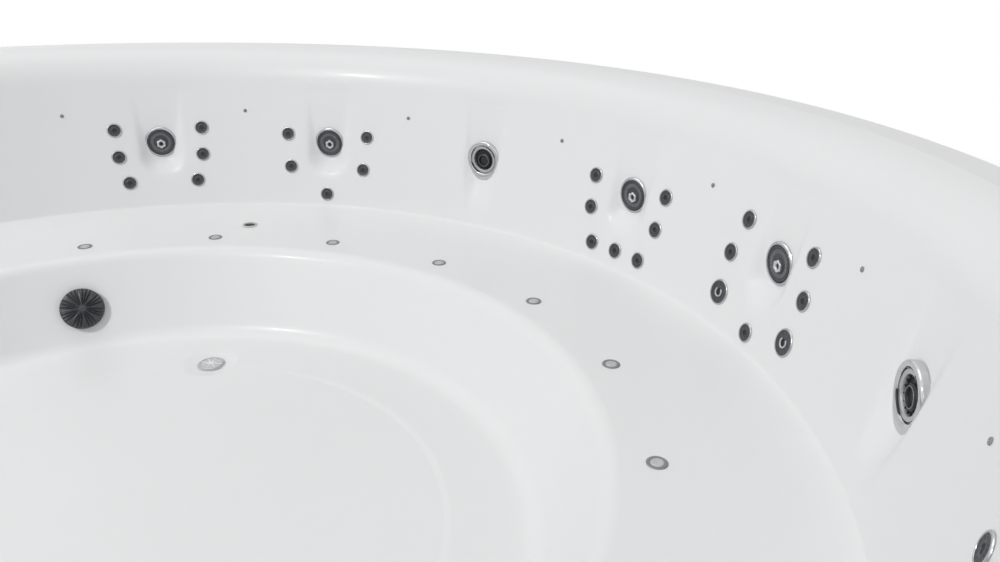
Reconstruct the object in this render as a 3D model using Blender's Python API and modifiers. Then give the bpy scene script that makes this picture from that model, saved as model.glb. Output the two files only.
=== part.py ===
"""Round hot tub: moulded seat ring with wall jets, plumbing, equipment and cabinet.

Metres, +Z up. The origin is on the ground at the tub's centre. The entry side faces -Y, and the
bathing positions run clockwise from it, seen from above. Run with
blender --background --python part.py.
"""

import math

import bmesh
import bpy
from mathutils import Matrix, Vector

# Heights, each counted from the one before
floor_height = 0.128
seat_rise = 0.2595
lamp_rise = 0.350
rim_rise = 0.2225
seat_height = floor_height + seat_rise
lamp_height = seat_height + lamp_rise
rim_height = lamp_height + rim_rise

# Radii of the moulding, each counted from the wall at the lamps
lamp_radius = 1.600
wall_lean_share = 0.24
lip_reach = 0.142
rim_reach = 0.238
seat_width = 0.441
riser_run = 0.130
lip_radius = lamp_radius + lip_reach
rim_radius = lamp_radius + rim_reach
seat_back_radius = lamp_radius - wall_lean_share * lamp_rise
nose_radius = seat_back_radius - seat_width
toe_radius = nose_radius - riser_run
wall_lean = math.atan(wall_lean_share)
riser_lean = math.atan2(riser_run, seat_rise)

# Moulding details
skin = 0.012
lip_step = 0.006
lip_width = 0.006
rim_edge_drop = 0.060
toe_round = 0.065
nose_round = 0.110
seat_round = 0.040
shoulder_round = 0.150
shoulder_slope_share = 0.36
band_height = rim_height - lip_step
band_underside = band_height - skin

# Positions around the tub
station_count = 16
facets_per_station = 4
facet_count = station_count * facets_per_station
station_pitch = 2 * math.pi / station_count
facet_pitch = 2 * math.pi / facet_count
flat_scale = 1 / math.cos(facet_pitch / 2)
entry_angle = math.radians(-90)
station_kinds = ["a", "b", "swirl", "c", "d", "swirl", "a", "b", "swirl", "c", "d", "swirl",
                 "a", "b", "swirl"]

# Clearances
gap = 0.0003
hole_clearance = 0.0005
cut_overrun = 0.030
weld_distance = 0.00001

# Base, and the equipment's distance from the centre
base_thickness = 0.020
equipment_setback = 0.116
equipment_radius = seat_back_radius - equipment_setback

# Large jets, in their pockets
pocket_setback = 0.003
large_jet_drop = 0.112
pocket_half_width = 0.085
swirl_pocket_half_width = 0.070
pocket_bottom_drop = 0.214
swirl_pocket_bottom_drop = 0.196
pocket_corner = 0.056
large_flange_radius = 0.056
swirl_flange_radius = 0.062
large_cup_radius = 0.0485
large_face_radius = 0.0455
swirl_cup_radius = 0.0505
swirl_face_radius = 0.047
large_neck_radius = 0.044
large_body_length = 0.075
large_flange_base = 0.002
large_flange_height = 0.0065
flange_edge_share = 0.8
swirl_flange_height = 0.012
face_thickness = 0.004
nozzle_radius = 0.015
nozzle_length = 0.003
nozzle_offset = 0.006
swirl_nozzle_radius = 0.030
swirl_nozzle_offset = 0.004
pocket_radius = lamp_radius - pocket_setback
large_sides = 10

# Small jets: sideways as a share of half a position's width, then down as a share of the wall
small_jet_shares = {
    "a": [(-0.48, 0.17), (-0.465, 0.44), (-0.38, 0.705), (0.38, 0.705), (0.465, 0.44), (0.48, 0.17)],
    "b": [(-0.485, 0.23), (-0.445, 0.565), (0.0, 0.84), (0.445, 0.565), (0.485, 0.23)],
    "swirl": [],
    "c": [(-0.47, 0.225), (-0.44, 0.505), (-0.32, 0.805), (0.0, 0.805), (0.32, 0.805),
          (0.44, 0.505), (0.47, 0.225)],
    "d": [(-0.44, 0.12), (-0.515, 0.395), (0.0, 0.84), (0.515, 0.395), (0.44, 0.12)],
}
medium_jet_shares = {"a": [], "b": [], "swirl": [], "c": [], "d": [(-0.485, 0.705), (0.485, 0.705)]}
small_flange_radius = 0.026
small_neck_radius = 0.012
medium_flange_radius = 0.035
medium_neck_radius = 0.0125
jet_flange_height = 0.004
hose_radius = 0.015
hose_back_gap = 0.010
small_sides = 6

# Water ring behind the wall and the feed pipes that rise from it
ring_setback = 0.058
ring_radius = pocket_radius + ring_setback
ring_pipe_radius = 0.0315
ring_rise = 0.200
ring_height = base_thickness + ring_rise
feed_radius = 0.016
socket_radius = 0.022
socket_reach = 0.055
socket_top = ring_height + socket_reach
feed_top_reach = 0.020
ring_facets = 2 * station_count

# Lamps in the wall
lamp_bezel_radius = 0.008
lamp_neck_radius = 0.005
lamp_bezel_height = 0.003
lamp_cable_radius = 0.008
lamp_cable_setback = 0.060

# Air injectors in the seat
injector_count = 18
injector_pitch = 2 * math.pi / injector_count
injector_setback = 0.101
injector_radius = nose_radius + injector_setback
first_injector_angle = entry_angle - math.radians(11.7)
injector_flange_radius = 0.0225
injector_neck_radius = 0.012
injector_flange_height = 0.003
air_pipe_radius = 0.016
air_pipe_drop = 0.045

# Suction fittings on the riser, one each side
suction_angle = entry_angle - math.radians(9.86)
suction_along_share = 0.44
suction_pad_radius = 0.076
suction_pad_depth = 0.007
suction_flange_radius = 0.056
suction_flange_height = 0.006
suction_neck_radius = 0.034
suction_tail_length = 0.110
suction_cover_radius = 0.066
suction_cover_height = 0.030
suction_cover_edge = 0.010
suction_sides = 16
suction_pipe_radius = 0.025

# Drain in the footwell floor
drain_angle = entry_angle - math.radians(35.3)
drain_setback = 0.185
drain_radius = toe_radius - drain_setback
drain_dish_radius = 0.068
drain_dish_depth = 0.0055
drain_flange_radius = 0.042
drain_flange_height = 0.002
drain_neck_radius = 0.030
drain_cover_radius = 0.038
drain_cover_thickness = 0.003
drain_bore_radius = 0.020
drain_peg_radius = 0.016
drain_peg_length = 0.012
drain_pipe_radius = 0.024
drain_pipe_rise = 0.042
drain_pipe_height = base_thickness + drain_pipe_rise
drain_pipe_reach = 0.164
drain_pipe_end = seat_back_radius + drain_pipe_reach
drain_sides = 12
valve_setback = 0.110
valve_body_radius = 0.034
valve_body_rise = 0.050
valve_body_top = drain_pipe_height + valve_body_rise
valve_stem_radius = 0.008
valve_stem_length = 0.016
handle_length = 0.110
handle_width = 0.022
handle_thickness = 0.008
handle_hub_radius = 0.016

# Warm water return in the seat
return_angle = entry_angle - math.radians(35.7)
return_setback = 0.204
return_radius = seat_back_radius - return_setback
return_flange_radius = 0.027
return_neck_radius = 0.020
return_flange_height = 0.002
return_pipe_radius = 0.018
return_pipe_rise = 0.220
return_pipe_height = base_thickness + return_pipe_rise

# Base, frame and cabinet
panel_setback = 0.053
panel_inner_radius = rim_radius - panel_setback
panel_thickness = 0.015
panel_count = 6
panel_facets = 10
panel_bottom = 0.010
panel_top_gap = 0.005
panel_top = rim_height - rim_edge_drop - panel_top_gap
panel_joint = 0.003
panel_facet_pitch = 2 * math.pi / (panel_count * panel_facets)
panel_scale = 1 / math.cos(panel_facet_pitch / 2)
base_setback = 0.023
base_radius = panel_inner_radius - base_setback
base_facets = 36
plinth_setback = 0.495
plinth_radius = toe_radius - plinth_setback
frame_clearance = 0.003
frame_ring_width = 0.021
frame_ring_inner = lip_radius + lip_width + frame_clearance
frame_ring_outer = frame_ring_inner + frame_ring_width
frame_ring_depth = 0.036
frame_facets = 36
post_count = 12
post_width = 0.056
post_depth = 0.040
hinge_reach = 0.004

# Pump, under the seat behind the door
pump_rise = 0.130
pump_z = base_thickness + pump_rise
motor_radius = 0.080
motor_start = -0.120
motor_end = 0.120
casing_radius = 0.098
casing_start = 0.1205
casing_end = 0.205
casing_wall = 0.012
pump_bore_radius = 0.028
pump_neck_radius = 0.036
inlet_end = 0.262
outlet_end_setback = 0.004
impeller_radius = 0.070
impeller_thickness = 0.020
impeller_back_gap = 0.004
shaft_radius = 0.010
shaft_bore_radius = 0.0112
vane_count = 5
vane_height = 0.014
vane_thickness = 0.006
vane_start_radius = 0.018
vane_end_radius = 0.064
pump_sides = 16
foot_width = 0.120
foot_length = 0.200

# Heater, filter, blower and control box
heater_angle = math.radians(-31)
heater_body_radius = 0.040
heater_length = 0.300
heater_rise = 0.170
heater_z = base_thickness + heater_rise
heater_neck_radius = 0.022
filter_angle = math.radians(-17.5)
filter_body_radius = 0.085
filter_body_height = 0.250
filter_body_top = base_thickness + filter_body_height
filter_lid_radius = 0.094
filter_lid_thickness = 0.022
filter_grip_length = 0.130
filter_grip_width = 0.018
filter_grip_height = 0.020
filter_cavity_radius = 0.070
filter_cartridge_radius = 0.056
filter_cartridge_foot_gap = 0.010
filter_sides = 16
blower_angle = math.radians(27)
blower_offset = 0.020
blower_radius = equipment_radius + blower_offset
blower_body_radius = 0.085
blower_body_height = 0.210
blower_body_top = base_thickness + blower_body_height
blower_neck_radius = 0.020
blower_shoulder_share = 0.8
control_angle = math.radians(15)
control_width = 0.240
control_depth = 0.070
control_height = 0.220
control_rise = 0.290
control_bottom = base_thickness + control_rise

# Keypad on the rim
keypad_angle = math.radians(0)
keypad_length = 0.160
keypad_width = 0.060
keypad_plate = 0.0028
keypad_body_length = 0.120
keypad_body_width = 0.026
keypad_body_depth = 0.018
keypad_setback = 0.046
keypad_radius = rim_radius - keypad_setback
button_radius = 0.0085
button_recess_radius = 0.0092
button_count = 3
button_pitch = 0.036
button_recess = 0.006
button_travel = 0.0012
button_rise = 0.0014


def make_collection(name):
    """Return a new collection, linked to the scene."""
    collection = bpy.data.collections.new(name)
    bpy.context.scene.collection.children.link(collection)
    return collection


def clear_scene():
    """Remove the objects that the scene starts with."""
    for item in list(bpy.data.objects):
        bpy.data.objects.remove(item, do_unlink=True)


def make_material(name, colour, roughness, metallic):
    """Return a Principled BSDF material."""
    material = bpy.data.materials.new(name)
    material.use_nodes = True
    shader = material.node_tree.nodes["Principled BSDF"]
    shader.inputs["Base Color"].default_value = (*colour, 1.0)
    shader.inputs["Roughness"].default_value = roughness
    shader.inputs["Metallic"].default_value = metallic
    return material


def new_object(name, mesh, collection):
    """Return a new object for a mesh, in a collection."""
    item = bpy.data.objects.new(name, mesh)
    collection.objects.link(item)
    return item


def bake(item):
    """Return an object's evaluated mesh, and remove the object."""
    bpy.context.view_layer.update()
    evaluated = item.evaluated_get(bpy.context.evaluated_depsgraph_get())
    mesh = bpy.data.meshes.new_from_object(evaluated)
    mesh.transform(item.matrix_world)
    build = bmesh.new()
    build.from_mesh(mesh)
    bmesh.ops.remove_doubles(build, verts=build.verts, dist=weld_distance)
    build.to_mesh(mesh)
    build.free()
    bpy.data.objects.remove(item, do_unlink=True)
    return mesh


def turned(profile, sides, place=None):
    """Return the mesh of a closed turned solid; the profile runs from the axis, top to bottom."""
    mesh = bpy.data.meshes.new("profile")
    vertices = [(radius, 0.0, height) for radius, height in profile]
    mesh.from_pydata(vertices, [(k, k + 1) for k in range(len(profile) - 1)], [])
    item = new_object("profile", mesh, bpy.context.scene.collection)
    screw = item.modifiers.new("turn", "SCREW")
    screw.steps = sides
    screw.render_steps = sides
    screw.use_merge_vertices = True
    screw.merge_threshold = weld_distance
    screw.use_smooth_shade = False
    result = bake(item)
    result.transform(Matrix.Rotation(math.pi / sides, 4, "Z"))
    if place is not None:
        result.transform(place)
    return result


def box(low, high, place=None):
    """Return the mesh of a box between two corners."""
    low = Vector(low)
    high = Vector(high)
    build = bmesh.new()
    size = high - low
    matrix = Matrix.Translation((low + high) / 2) @ Matrix.Diagonal((*size, 1))
    bmesh.ops.create_cube(build, size=1, matrix=matrix)
    mesh = bpy.data.meshes.new("box")
    build.to_mesh(mesh)
    build.free()
    if place is not None:
        mesh.transform(place)
    return mesh


def tube(points, radius, sides=6, place=None):
    """Return the mesh of a solid tube along points; it has 4, 6 or 8 sides."""
    curve = bpy.data.curves.new("tube", "CURVE")
    curve.dimensions = "3D"
    curve.bevel_depth = radius
    curve.bevel_resolution = sides // 2 - 2
    curve.use_fill_caps = True
    spline = curve.splines.new("POLY")
    spline.points.add(len(points) - 1)
    for point, target in zip(spline.points, points):
        point.co = (*target, 1)
    mesh = bake(new_object("tube", curve, bpy.context.scene.collection))
    if place is not None:
        mesh.transform(place)
    return mesh


def slab(outline, low, high, place=None):
    """Return the mesh of a flat outline that stands between two heights."""
    curve = bpy.data.curves.new("outline", "CURVE")
    curve.dimensions = "2D"
    curve.fill_mode = "BOTH"
    curve.extrude = (high - low) / 2
    spline = curve.splines.new("POLY")
    spline.points.add(len(outline) - 1)
    for point, (x, y) in zip(spline.points, outline):
        point.co = (x, y, 0, 1)
    spline.use_cyclic_u = True
    item = new_object("outline", curve, bpy.context.scene.collection)
    item.location.z = (high + low) / 2
    mesh = bake(item)
    if place is not None:
        mesh.transform(place)
    return mesh


def joined(meshes):
    """Return one mesh that holds several that don't meet."""
    build = bmesh.new()
    for mesh in meshes:
        build.from_mesh(mesh)
    result = bpy.data.meshes.new("joined")
    build.to_mesh(result)
    build.free()
    return result


def combined(mesh, others, operation):
    """Return a mesh united with, or cut by, each of the others in turn."""
    item = new_object("work", mesh, bpy.context.scene.collection)
    tools = []
    for other in others:
        tool = new_object("tool", other, bpy.context.scene.collection)
        tools.append(tool)
        modifier = item.modifiers.new(operation, "BOOLEAN")
        modifier.operation = operation
        modifier.object = tool
        modifier.solver = "EXACT"
    result = bake(item)
    for tool in tools:
        bpy.data.objects.remove(tool, do_unlink=True)
    return result


def united(mesh, *others):
    """Return a mesh joined into one body with the others."""
    return combined(mesh, others, "UNION")


def cut(mesh, *others):
    """Return a mesh with the others cut out."""
    return combined(mesh, others, "DIFFERENCE")


def rounded(corners):
    """Return a path of points with each corner (radius, height, round, steps) rounded."""
    path = []
    places = [Vector(corner[:2]) for corner in corners]
    for k, (radius, height, bend, steps) in enumerate(corners):
        if steps == 0:
            path.append((radius, height))
            continue
        back = (places[k - 1] - places[k]).normalized()
        ahead = (places[k + 1] - places[k]).normalized()
        half = back.angle(ahead) / 2
        centre = places[k] + (back + ahead).normalized() * (bend / math.sin(half))
        start = places[k] + back * (bend / math.tan(half)) - centre
        end = places[k] + ahead * (bend / math.tan(half)) - centre
        turn = start.angle_signed(end)
        for step in range(steps + 1):
            angle = -turn * step / steps
            spoke = Matrix.Rotation(angle, 2) @ start
            path.append(tuple(centre + spoke))
    return path


def wall_radius(drop):
    """Return the wall's radius at a distance below the lamps."""
    return lamp_radius - wall_lean_share * drop


def around(radius, angle, height=0.0):
    """Return the point at a radius, an angle and a height."""
    return Vector((radius * math.cos(angle), radius * math.sin(angle), height))


def wall_frame(sideways, drop):
    """Return the frame on the wall's flat at a jet: +Z into the tub, +Y up the wall."""
    turn = sideways / wall_radius(drop)
    flat = round(turn / facet_pitch) * facet_pitch
    on_flat = Vector((wall_radius(drop), wall_radius(drop) * math.tan(turn - flat), 0))
    place = Matrix.Rotation(flat, 4, "Z") @ Matrix.Translation((*on_flat.xy, lamp_height - drop))
    tilt = Matrix.Rotation(math.radians(-90) + wall_lean, 4, "Y")
    return place @ tilt


def jet_places(shares):
    """Return the distances sideways, and down from the lamps, of jets on one position's wall."""
    half_width = lamp_radius * station_pitch / 2
    return [(across * half_width, down * lamp_rise) for across, down in shares]


def pocket_frame():
    """Return the frame on a pocket's floor at its jet: +Z into the tub, +X up."""
    place = Matrix.Translation((pocket_radius, 0, lamp_height - large_jet_drop))
    return place @ Matrix.Rotation(math.radians(-90), 4, "Y")


def riser_frame(angle):
    """Return the frame on the riser at a suction fitting: +Z into the footwell."""
    radius = toe_radius + suction_along_share * riser_run
    height = floor_height + suction_along_share * seat_rise
    tilt = Matrix.Rotation(math.radians(-90) + riser_lean, 4, "Y")
    return Matrix.Rotation(angle, 4, "Z") @ Matrix.Translation((radius, 0, height)) @ tilt


def station_turn(number):
    """Return the angle of a bathing position, counted from 1."""
    return entry_angle - number * station_pitch


def shell_profile():
    """Return the moulding's section, from the floor's centre over the rim and back beneath."""
    belt_radius = pocket_radius + skin
    shoulder_drop = ((lip_reach * shoulder_slope_share - rim_rise)
                     / (1 - wall_lean_share * shoulder_slope_share))
    corners = [
        (0.0, floor_height, 0.0, 0),
        (toe_radius, floor_height, toe_round, 2),
        (nose_radius, seat_height, nose_round, 3),
        (seat_back_radius, seat_height, seat_round, 2),
        (wall_radius(shoulder_drop), lamp_height - shoulder_drop, shoulder_round, 2),
        (lip_radius, rim_height, 0.0, 0),
        (lip_radius + lip_width, band_height, 0.0, 0),
        (rim_radius, band_height, 0.0, 0),
        (rim_radius, rim_height - rim_edge_drop, 0.0, 0),
        (rim_radius - skin, rim_height - rim_edge_drop, 0.0, 0),
        (rim_radius - skin, band_underside, 0.0, 0),
        (lip_radius + lip_width, band_underside, 0.0, 0),
        (wall_radius(shoulder_drop) + 2 * skin, lamp_height - shoulder_drop - skin, 0.0, 0),
        (belt_radius, lamp_height, 0.0, 0),
        (belt_radius, lamp_height - pocket_bottom_drop - skin, 0.0, 0),
        (wall_radius(lamp_rise) + skin / math.cos(wall_lean), seat_height - skin, 0.0, 0),
        (nose_radius + skin * math.tan((math.pi / 2 - riser_lean) / 2), seat_height - skin,
         nose_round - skin, 2),
        (toe_radius + skin * math.tan((math.pi / 2 - riser_lean) / 2), floor_height - skin, 0.0, 0),
        (0.0, floor_height - skin, 0.0, 0),
    ]
    return [(radius * flat_scale, height) for radius, height in rounded(corners)]


def pocket_outline(half_width, floor_drop):
    """Return a pocket's outline, upright with rounded lower corners, as sideways and height."""
    top = lamp_rise * wall_lean_share
    corners = [(half_width, top, 0.0, 0), (-half_width, top, 0.0, 0),
               (-half_width, -floor_drop, pocket_corner, 2), (half_width, -floor_drop, pocket_corner, 2),
               (half_width, top, 0.0, 0)]
    return rounded(corners)[:-1]


def pocket_tool(kind):
    """Return the cutter of a large jet's pocket and of its hole."""
    half_width = swirl_pocket_half_width if kind == "swirl" else pocket_half_width
    floor_drop = swirl_pocket_bottom_drop if kind == "swirl" else pocket_bottom_drop
    outline = pocket_outline(half_width, floor_drop)
    depth = wall_lean_share * floor_drop + cut_overrun
    frame = (Matrix.Translation((pocket_radius, 0, lamp_height))
             @ Matrix.Rotation(math.radians(-90), 4, "Y") @ Matrix.Rotation(math.radians(-90), 4, "Z"))
    pocket = slab(outline, 0.0, depth, frame)
    hole = large_neck_radius + hole_clearance
    bore = turned([(0.0, cut_overrun), (hole, cut_overrun), (hole, -cut_overrun), (0.0, -cut_overrun)],
                  large_sides, pocket_frame())
    return united(pocket, bore)


def hole_tool(radius, sides, frame, depth=cut_overrun):
    """Return a round cutter that reaches a depth into a wall."""
    profile = [(0.0, cut_overrun), (radius, cut_overrun), (radius, -depth), (0.0, -depth)]
    return turned(profile, sides, frame)


def station_holes(kind):
    """Return the cutters of one position's jets."""
    tools = [pocket_tool(kind)]
    necks = [(place, small_neck_radius) for place in jet_places(small_jet_shares[kind])]
    necks += [(place, medium_neck_radius) for place in jet_places(medium_jet_shares[kind])]
    for (sideways, drop), neck in necks:
        tools.append(hole_tool(neck + hole_clearance, small_sides, wall_frame(sideways, drop),
                               hose_depth(drop)))
    return joined(tools)


def shell_tools():
    """Return every cutter of the moulding, as one mesh of bodies that don't meet."""
    tools = []
    for number, kind in enumerate(station_kinds, 1):
        holes = station_holes(kind)
        holes.transform(Matrix.Rotation(station_turn(number), 4, "Z"))
        tools.append(holes)
    for number in range(station_count):
        frame = Matrix.Rotation(station_turn(number + 0.5), 4, "Z") @ wall_frame(0.0, 0.0)
        tools.append(hole_tool(lamp_neck_radius + hole_clearance, small_sides, frame))
    for number in range(injector_count):
        angle = first_injector_angle - number * injector_pitch
        frame = Matrix.Translation(around(injector_radius, angle, seat_height))
        tools.append(hole_tool(injector_neck_radius + hole_clearance, small_sides, frame))
    for angle in (suction_angle, suction_angle + math.pi):
        pad = [(0.0, cut_overrun), (suction_pad_radius, cut_overrun),
               (suction_pad_radius, -suction_pad_depth),
               (suction_neck_radius + hole_clearance, -suction_pad_depth),
               (suction_neck_radius + hole_clearance, -cut_overrun), (0.0, -cut_overrun)]
        tools.append(turned(pad, suction_sides, riser_frame(angle)))
    dish = [(0.0, cut_overrun), (drain_dish_radius, cut_overrun), (drain_dish_radius, -drain_dish_depth),
            (drain_neck_radius + hole_clearance, -drain_dish_depth),
            (drain_neck_radius + hole_clearance, -cut_overrun), (0.0, -cut_overrun)]
    tools.append(turned(dish, drain_sides,
                        Matrix.Translation(around(drain_radius, drain_angle, floor_height))))
    tools.append(hole_tool(return_neck_radius + hole_clearance, small_sides,
                           Matrix.Translation(around(return_radius, return_angle, seat_height))))
    half_length = keypad_body_length / 2 + hole_clearance
    half_width = keypad_body_width / 2 + hole_clearance
    tools.append(box((keypad_radius - half_width, -half_length, band_height - cut_overrun),
                     (keypad_radius + half_width, half_length, band_height + cut_overrun),
                     Matrix.Rotation(keypad_angle, 4, "Z")))
    return joined(tools)


def make_shell(parts, cutters, material):
    """Make the moulding, with a pad behind each suction fitting and every hole cut."""
    shell = new_object("shell", turned(shell_profile(), facet_count), parts)
    pads = []
    for angle in (suction_angle, suction_angle + math.pi):
        pad = [(0.0, -skin / 2), (suction_pad_radius + skin, -skin / 2),
               (suction_pad_radius + skin, -suction_pad_depth - skin), (0.0, -suction_pad_depth - skin)]
        pads.append(turned(pad, suction_sides, riser_frame(angle)))
    for name, mesh, operation in (("shell_pads", joined(pads), "UNION"),
                                  ("shell_holes", shell_tools(), "DIFFERENCE")):
        tool = new_object(name, mesh, cutters)
        tool.hide_render = True
        tool.display_type = "WIRE"
        modifier = shell.modifiers.new(name, "BOOLEAN")
        modifier.operation = operation
        modifier.object = tool
        modifier.solver = "EXACT"
    shell.data.materials.append(material)


def large_jet_body(kind):
    """Return a large jet's cup, neck and body, along its own axis."""
    swirl = kind == "swirl"
    flange = swirl_flange_radius if swirl else large_flange_radius
    cup = swirl_cup_radius if swirl else large_cup_radius
    top = swirl_flange_height if swirl else large_flange_height
    profile = [(0.0, large_flange_base), (cup, large_flange_base), (cup, top),
               (flange, top * flange_edge_share), (flange, gap), (large_neck_radius, gap),
               (large_neck_radius, -large_body_length), (0.0, -large_body_length)]
    return turned(profile, large_sides, pocket_frame())


def hose_depth(drop):
    """Return the hose's distance behind the wall at a jet, clear of the belt's back."""
    belt = pocket_setback + skin + wall_lean_share * drop
    return belt * math.cos(wall_lean) + hose_radius + hose_back_gap


def jet_stub(flange_radius, neck_radius, sideways, drop):
    """Return a small jet's flange and tail, which ends inside the hose."""
    tail = -hose_depth(drop)
    profile = [(0.0, jet_flange_height), (flange_radius, jet_flange_height), (flange_radius, gap),
               (neck_radius, gap), (neck_radius, tail), (0.0, tail)]
    return turned(profile, small_sides, wall_frame(sideways, drop))


def jet_group_mesh(kind):
    """Return one position's glued pipework: large jet, small jets, hose and feed."""
    body = large_jet_body(kind)
    feed_top = lamp_height - large_jet_drop + feed_top_reach
    feed = tube([(ring_radius, 0, feed_top), (ring_radius, 0, socket_top + gap)], feed_radius)
    places = [(*place, small_flange_radius, small_neck_radius)
              for place in jet_places(small_jet_shares[kind])]
    places += [(*place, medium_flange_radius, medium_neck_radius)
               for place in jet_places(medium_jet_shares[kind])]
    if not places:
        return united(body, feed)
    places.sort(key=lambda place: math.atan2(place[0], place[1] - large_jet_drop - feed_top_reach))
    tails = [wall_frame(sideways, drop) @ Vector((0, 0, -hose_depth(drop)))
             for sideways, drop, flange, neck in places]
    hose = tube(tails, hose_radius, 4)
    stubs = joined([jet_stub(flange, neck, sideways, drop)
                    for sideways, drop, flange, neck in places])
    lowest = min(tails, key=lambda tail: (round(tail.z, 3), abs(tail.y)))
    link_height = max(lowest.z, socket_top + 2 * feed_radius)
    link = tube([(lowest.x, 0, link_height), (ring_radius, 0, link_height)], hose_radius, 4)
    return united(body, feed, hose, stubs, link)


def face_mesh(kind):
    """Return a large jet's turning face with its nozzle, along its own axis."""
    swirl = kind == "swirl"
    radius = swirl_face_radius if swirl else large_face_radius
    eye = swirl_nozzle_radius if swirl else nozzle_radius
    offset = swirl_nozzle_offset if swirl else nozzle_offset
    low = large_flange_base + gap
    high = low + face_thickness
    disc = turned([(0.0, high), (radius, high), (radius, low), (0.0, low)], large_sides)
    top = high + nozzle_length
    base = low + face_thickness / 2
    nozzle = turned([(0.0, top), (eye, top), (eye, base), (0.0, base)], small_sides,
                    Matrix.Translation((-offset, 0, 0)))
    return united(disc, nozzle)


def make_jets(parts, materials):
    """Make each position's pipework and its large jet's turning face."""
    groups = {kind: jet_group_mesh(kind) for kind in sorted(set(station_kinds))}
    faces = {kind: face_mesh(kind) for kind in sorted(set(station_kinds))}
    for kind in groups:
        groups[kind].materials.append(materials["pipe"])
        faces[kind].materials.append(materials["chrome" if kind == "swirl" else "face"])
    for number, kind in enumerate(station_kinds, 1):
        group = new_object(f"jet_group_{number:02d}", groups[kind], parts)
        group.matrix_world = Matrix.Rotation(station_turn(number), 4, "Z")
        face = new_object(f"jet_face_{number:02d}", faces[kind], parts)
        face.matrix_world = group.matrix_world @ pocket_frame()


def ring_points(radius, height, count, start, sweep):
    """Return points along an arc."""
    return [around(radius, start + sweep * k / count, height) for k in range(count + 1)]


def ring_pipe(radius, height, pipe_radius, facets, sides, turn=0.0):
    """Return a closed ring of pipe, turned from a round section."""
    build = bmesh.new()
    frame = Matrix.Rotation(turn, 4, "Z") @ Matrix.Translation((radius, 0, height))
    frame = frame @ Matrix.Rotation(math.radians(90), 4, "X")
    circle = bmesh.ops.create_circle(build, segments=sides, radius=pipe_radius, matrix=frame)
    edges = list({edge for vertex in circle["verts"] for edge in vertex.link_edges})
    bmesh.ops.spin(build, geom=circle["verts"] + edges, axis=(0, 0, 1), cent=(0, 0, 0),
                   angle=2 * math.pi, steps=facets, use_merge=True)
    bmesh.ops.remove_doubles(build, verts=build.verts, dist=weld_distance)
    bmesh.ops.recalc_face_normals(build, faces=build.faces)
    mesh = bpy.data.meshes.new("ring")
    build.to_mesh(mesh)
    build.free()
    return mesh


def make_water_ring(parts, material):
    """Make the ring main that feeds the jets, with its sockets and its pump inlet."""
    ring = ring_pipe(ring_radius, ring_height, ring_pipe_radius, ring_facets, 6, station_pitch / 2)
    sockets = []
    for number in range(1, len(station_kinds) + 1):
        foot = around(ring_radius, station_turn(number), ring_height)
        top = Vector((foot.x, foot.y, socket_top))
        sockets.append(tube([foot, top], socket_radius))
    outlet_y = (casing_start + casing_end) / 2
    outlet_x = equipment_radius + casing_radius + outlet_end_setback + gap
    outlet = tube([(outlet_x, outlet_y, pump_z), (outlet_x + socket_radius, outlet_y, pump_z),
                   (ring_radius, outlet_y, ring_height)], socket_radius)
    filter_end = around(equipment_radius + filter_body_radius + gap, filter_angle, ring_height)
    filter_start = around(ring_radius, filter_angle, ring_height)
    branch = tube([filter_end, filter_start], return_pipe_radius)
    mesh = united(ring, joined(sockets), outlet, branch)
    mesh.materials.append(material)
    new_object("water_ring", mesh, parts)


def make_lamps(parts, material):
    """Make the wall lamps and the cable that joins them behind the wall."""
    profile = [(0.0, lamp_bezel_height), (lamp_bezel_radius, lamp_bezel_height),
               (lamp_bezel_radius, gap), (lamp_neck_radius, gap),
               (lamp_neck_radius, -lamp_cable_setback), (0.0, -lamp_cable_setback)]
    lamps = []
    for number in range(station_count):
        frame = Matrix.Rotation(station_turn(number + 0.5), 4, "Z") @ wall_frame(0.0, 0.0)
        lamps.append(turned(profile, small_sides, frame))
    tail = wall_frame(0.0, 0.0) @ Vector((0, 0, -lamp_cable_setback))
    cable = ring_pipe(tail.x, tail.z, lamp_cable_radius, station_count, 4, station_turn(0.5))
    mesh = united(cable, joined(lamps))
    mesh.materials.append(material)
    new_object("lamp_ring", mesh, parts)


def make_air_ring(parts, material):
    """Make the seat's air injectors and the pipe that joins them to the blower."""
    profile = [(0.0, injector_flange_height), (injector_flange_radius, injector_flange_height),
               (injector_flange_radius, gap), (injector_neck_radius, gap),
               (injector_neck_radius, -air_pipe_drop), (0.0, -air_pipe_drop)]
    injectors = []
    for number in range(injector_count):
        angle = first_injector_angle - number * injector_pitch
        frame = Matrix.Translation(around(injector_radius, angle, seat_height))
        injectors.append(turned(profile, small_sides, frame))
    height = seat_height - air_pipe_drop
    pipe = ring_pipe(injector_radius, height, air_pipe_radius, injector_count, 6, first_injector_angle)
    branch = tube([around(injector_radius * math.cos(injector_pitch / 2), blower_angle, height),
                   around(blower_radius, blower_angle, height),
                   around(blower_radius, blower_angle, blower_body_top + gap)], blower_neck_radius)
    mesh = united(pipe, joined(injectors), branch)
    mesh.materials.append(material)
    new_object("air_ring", mesh, parts)


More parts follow.
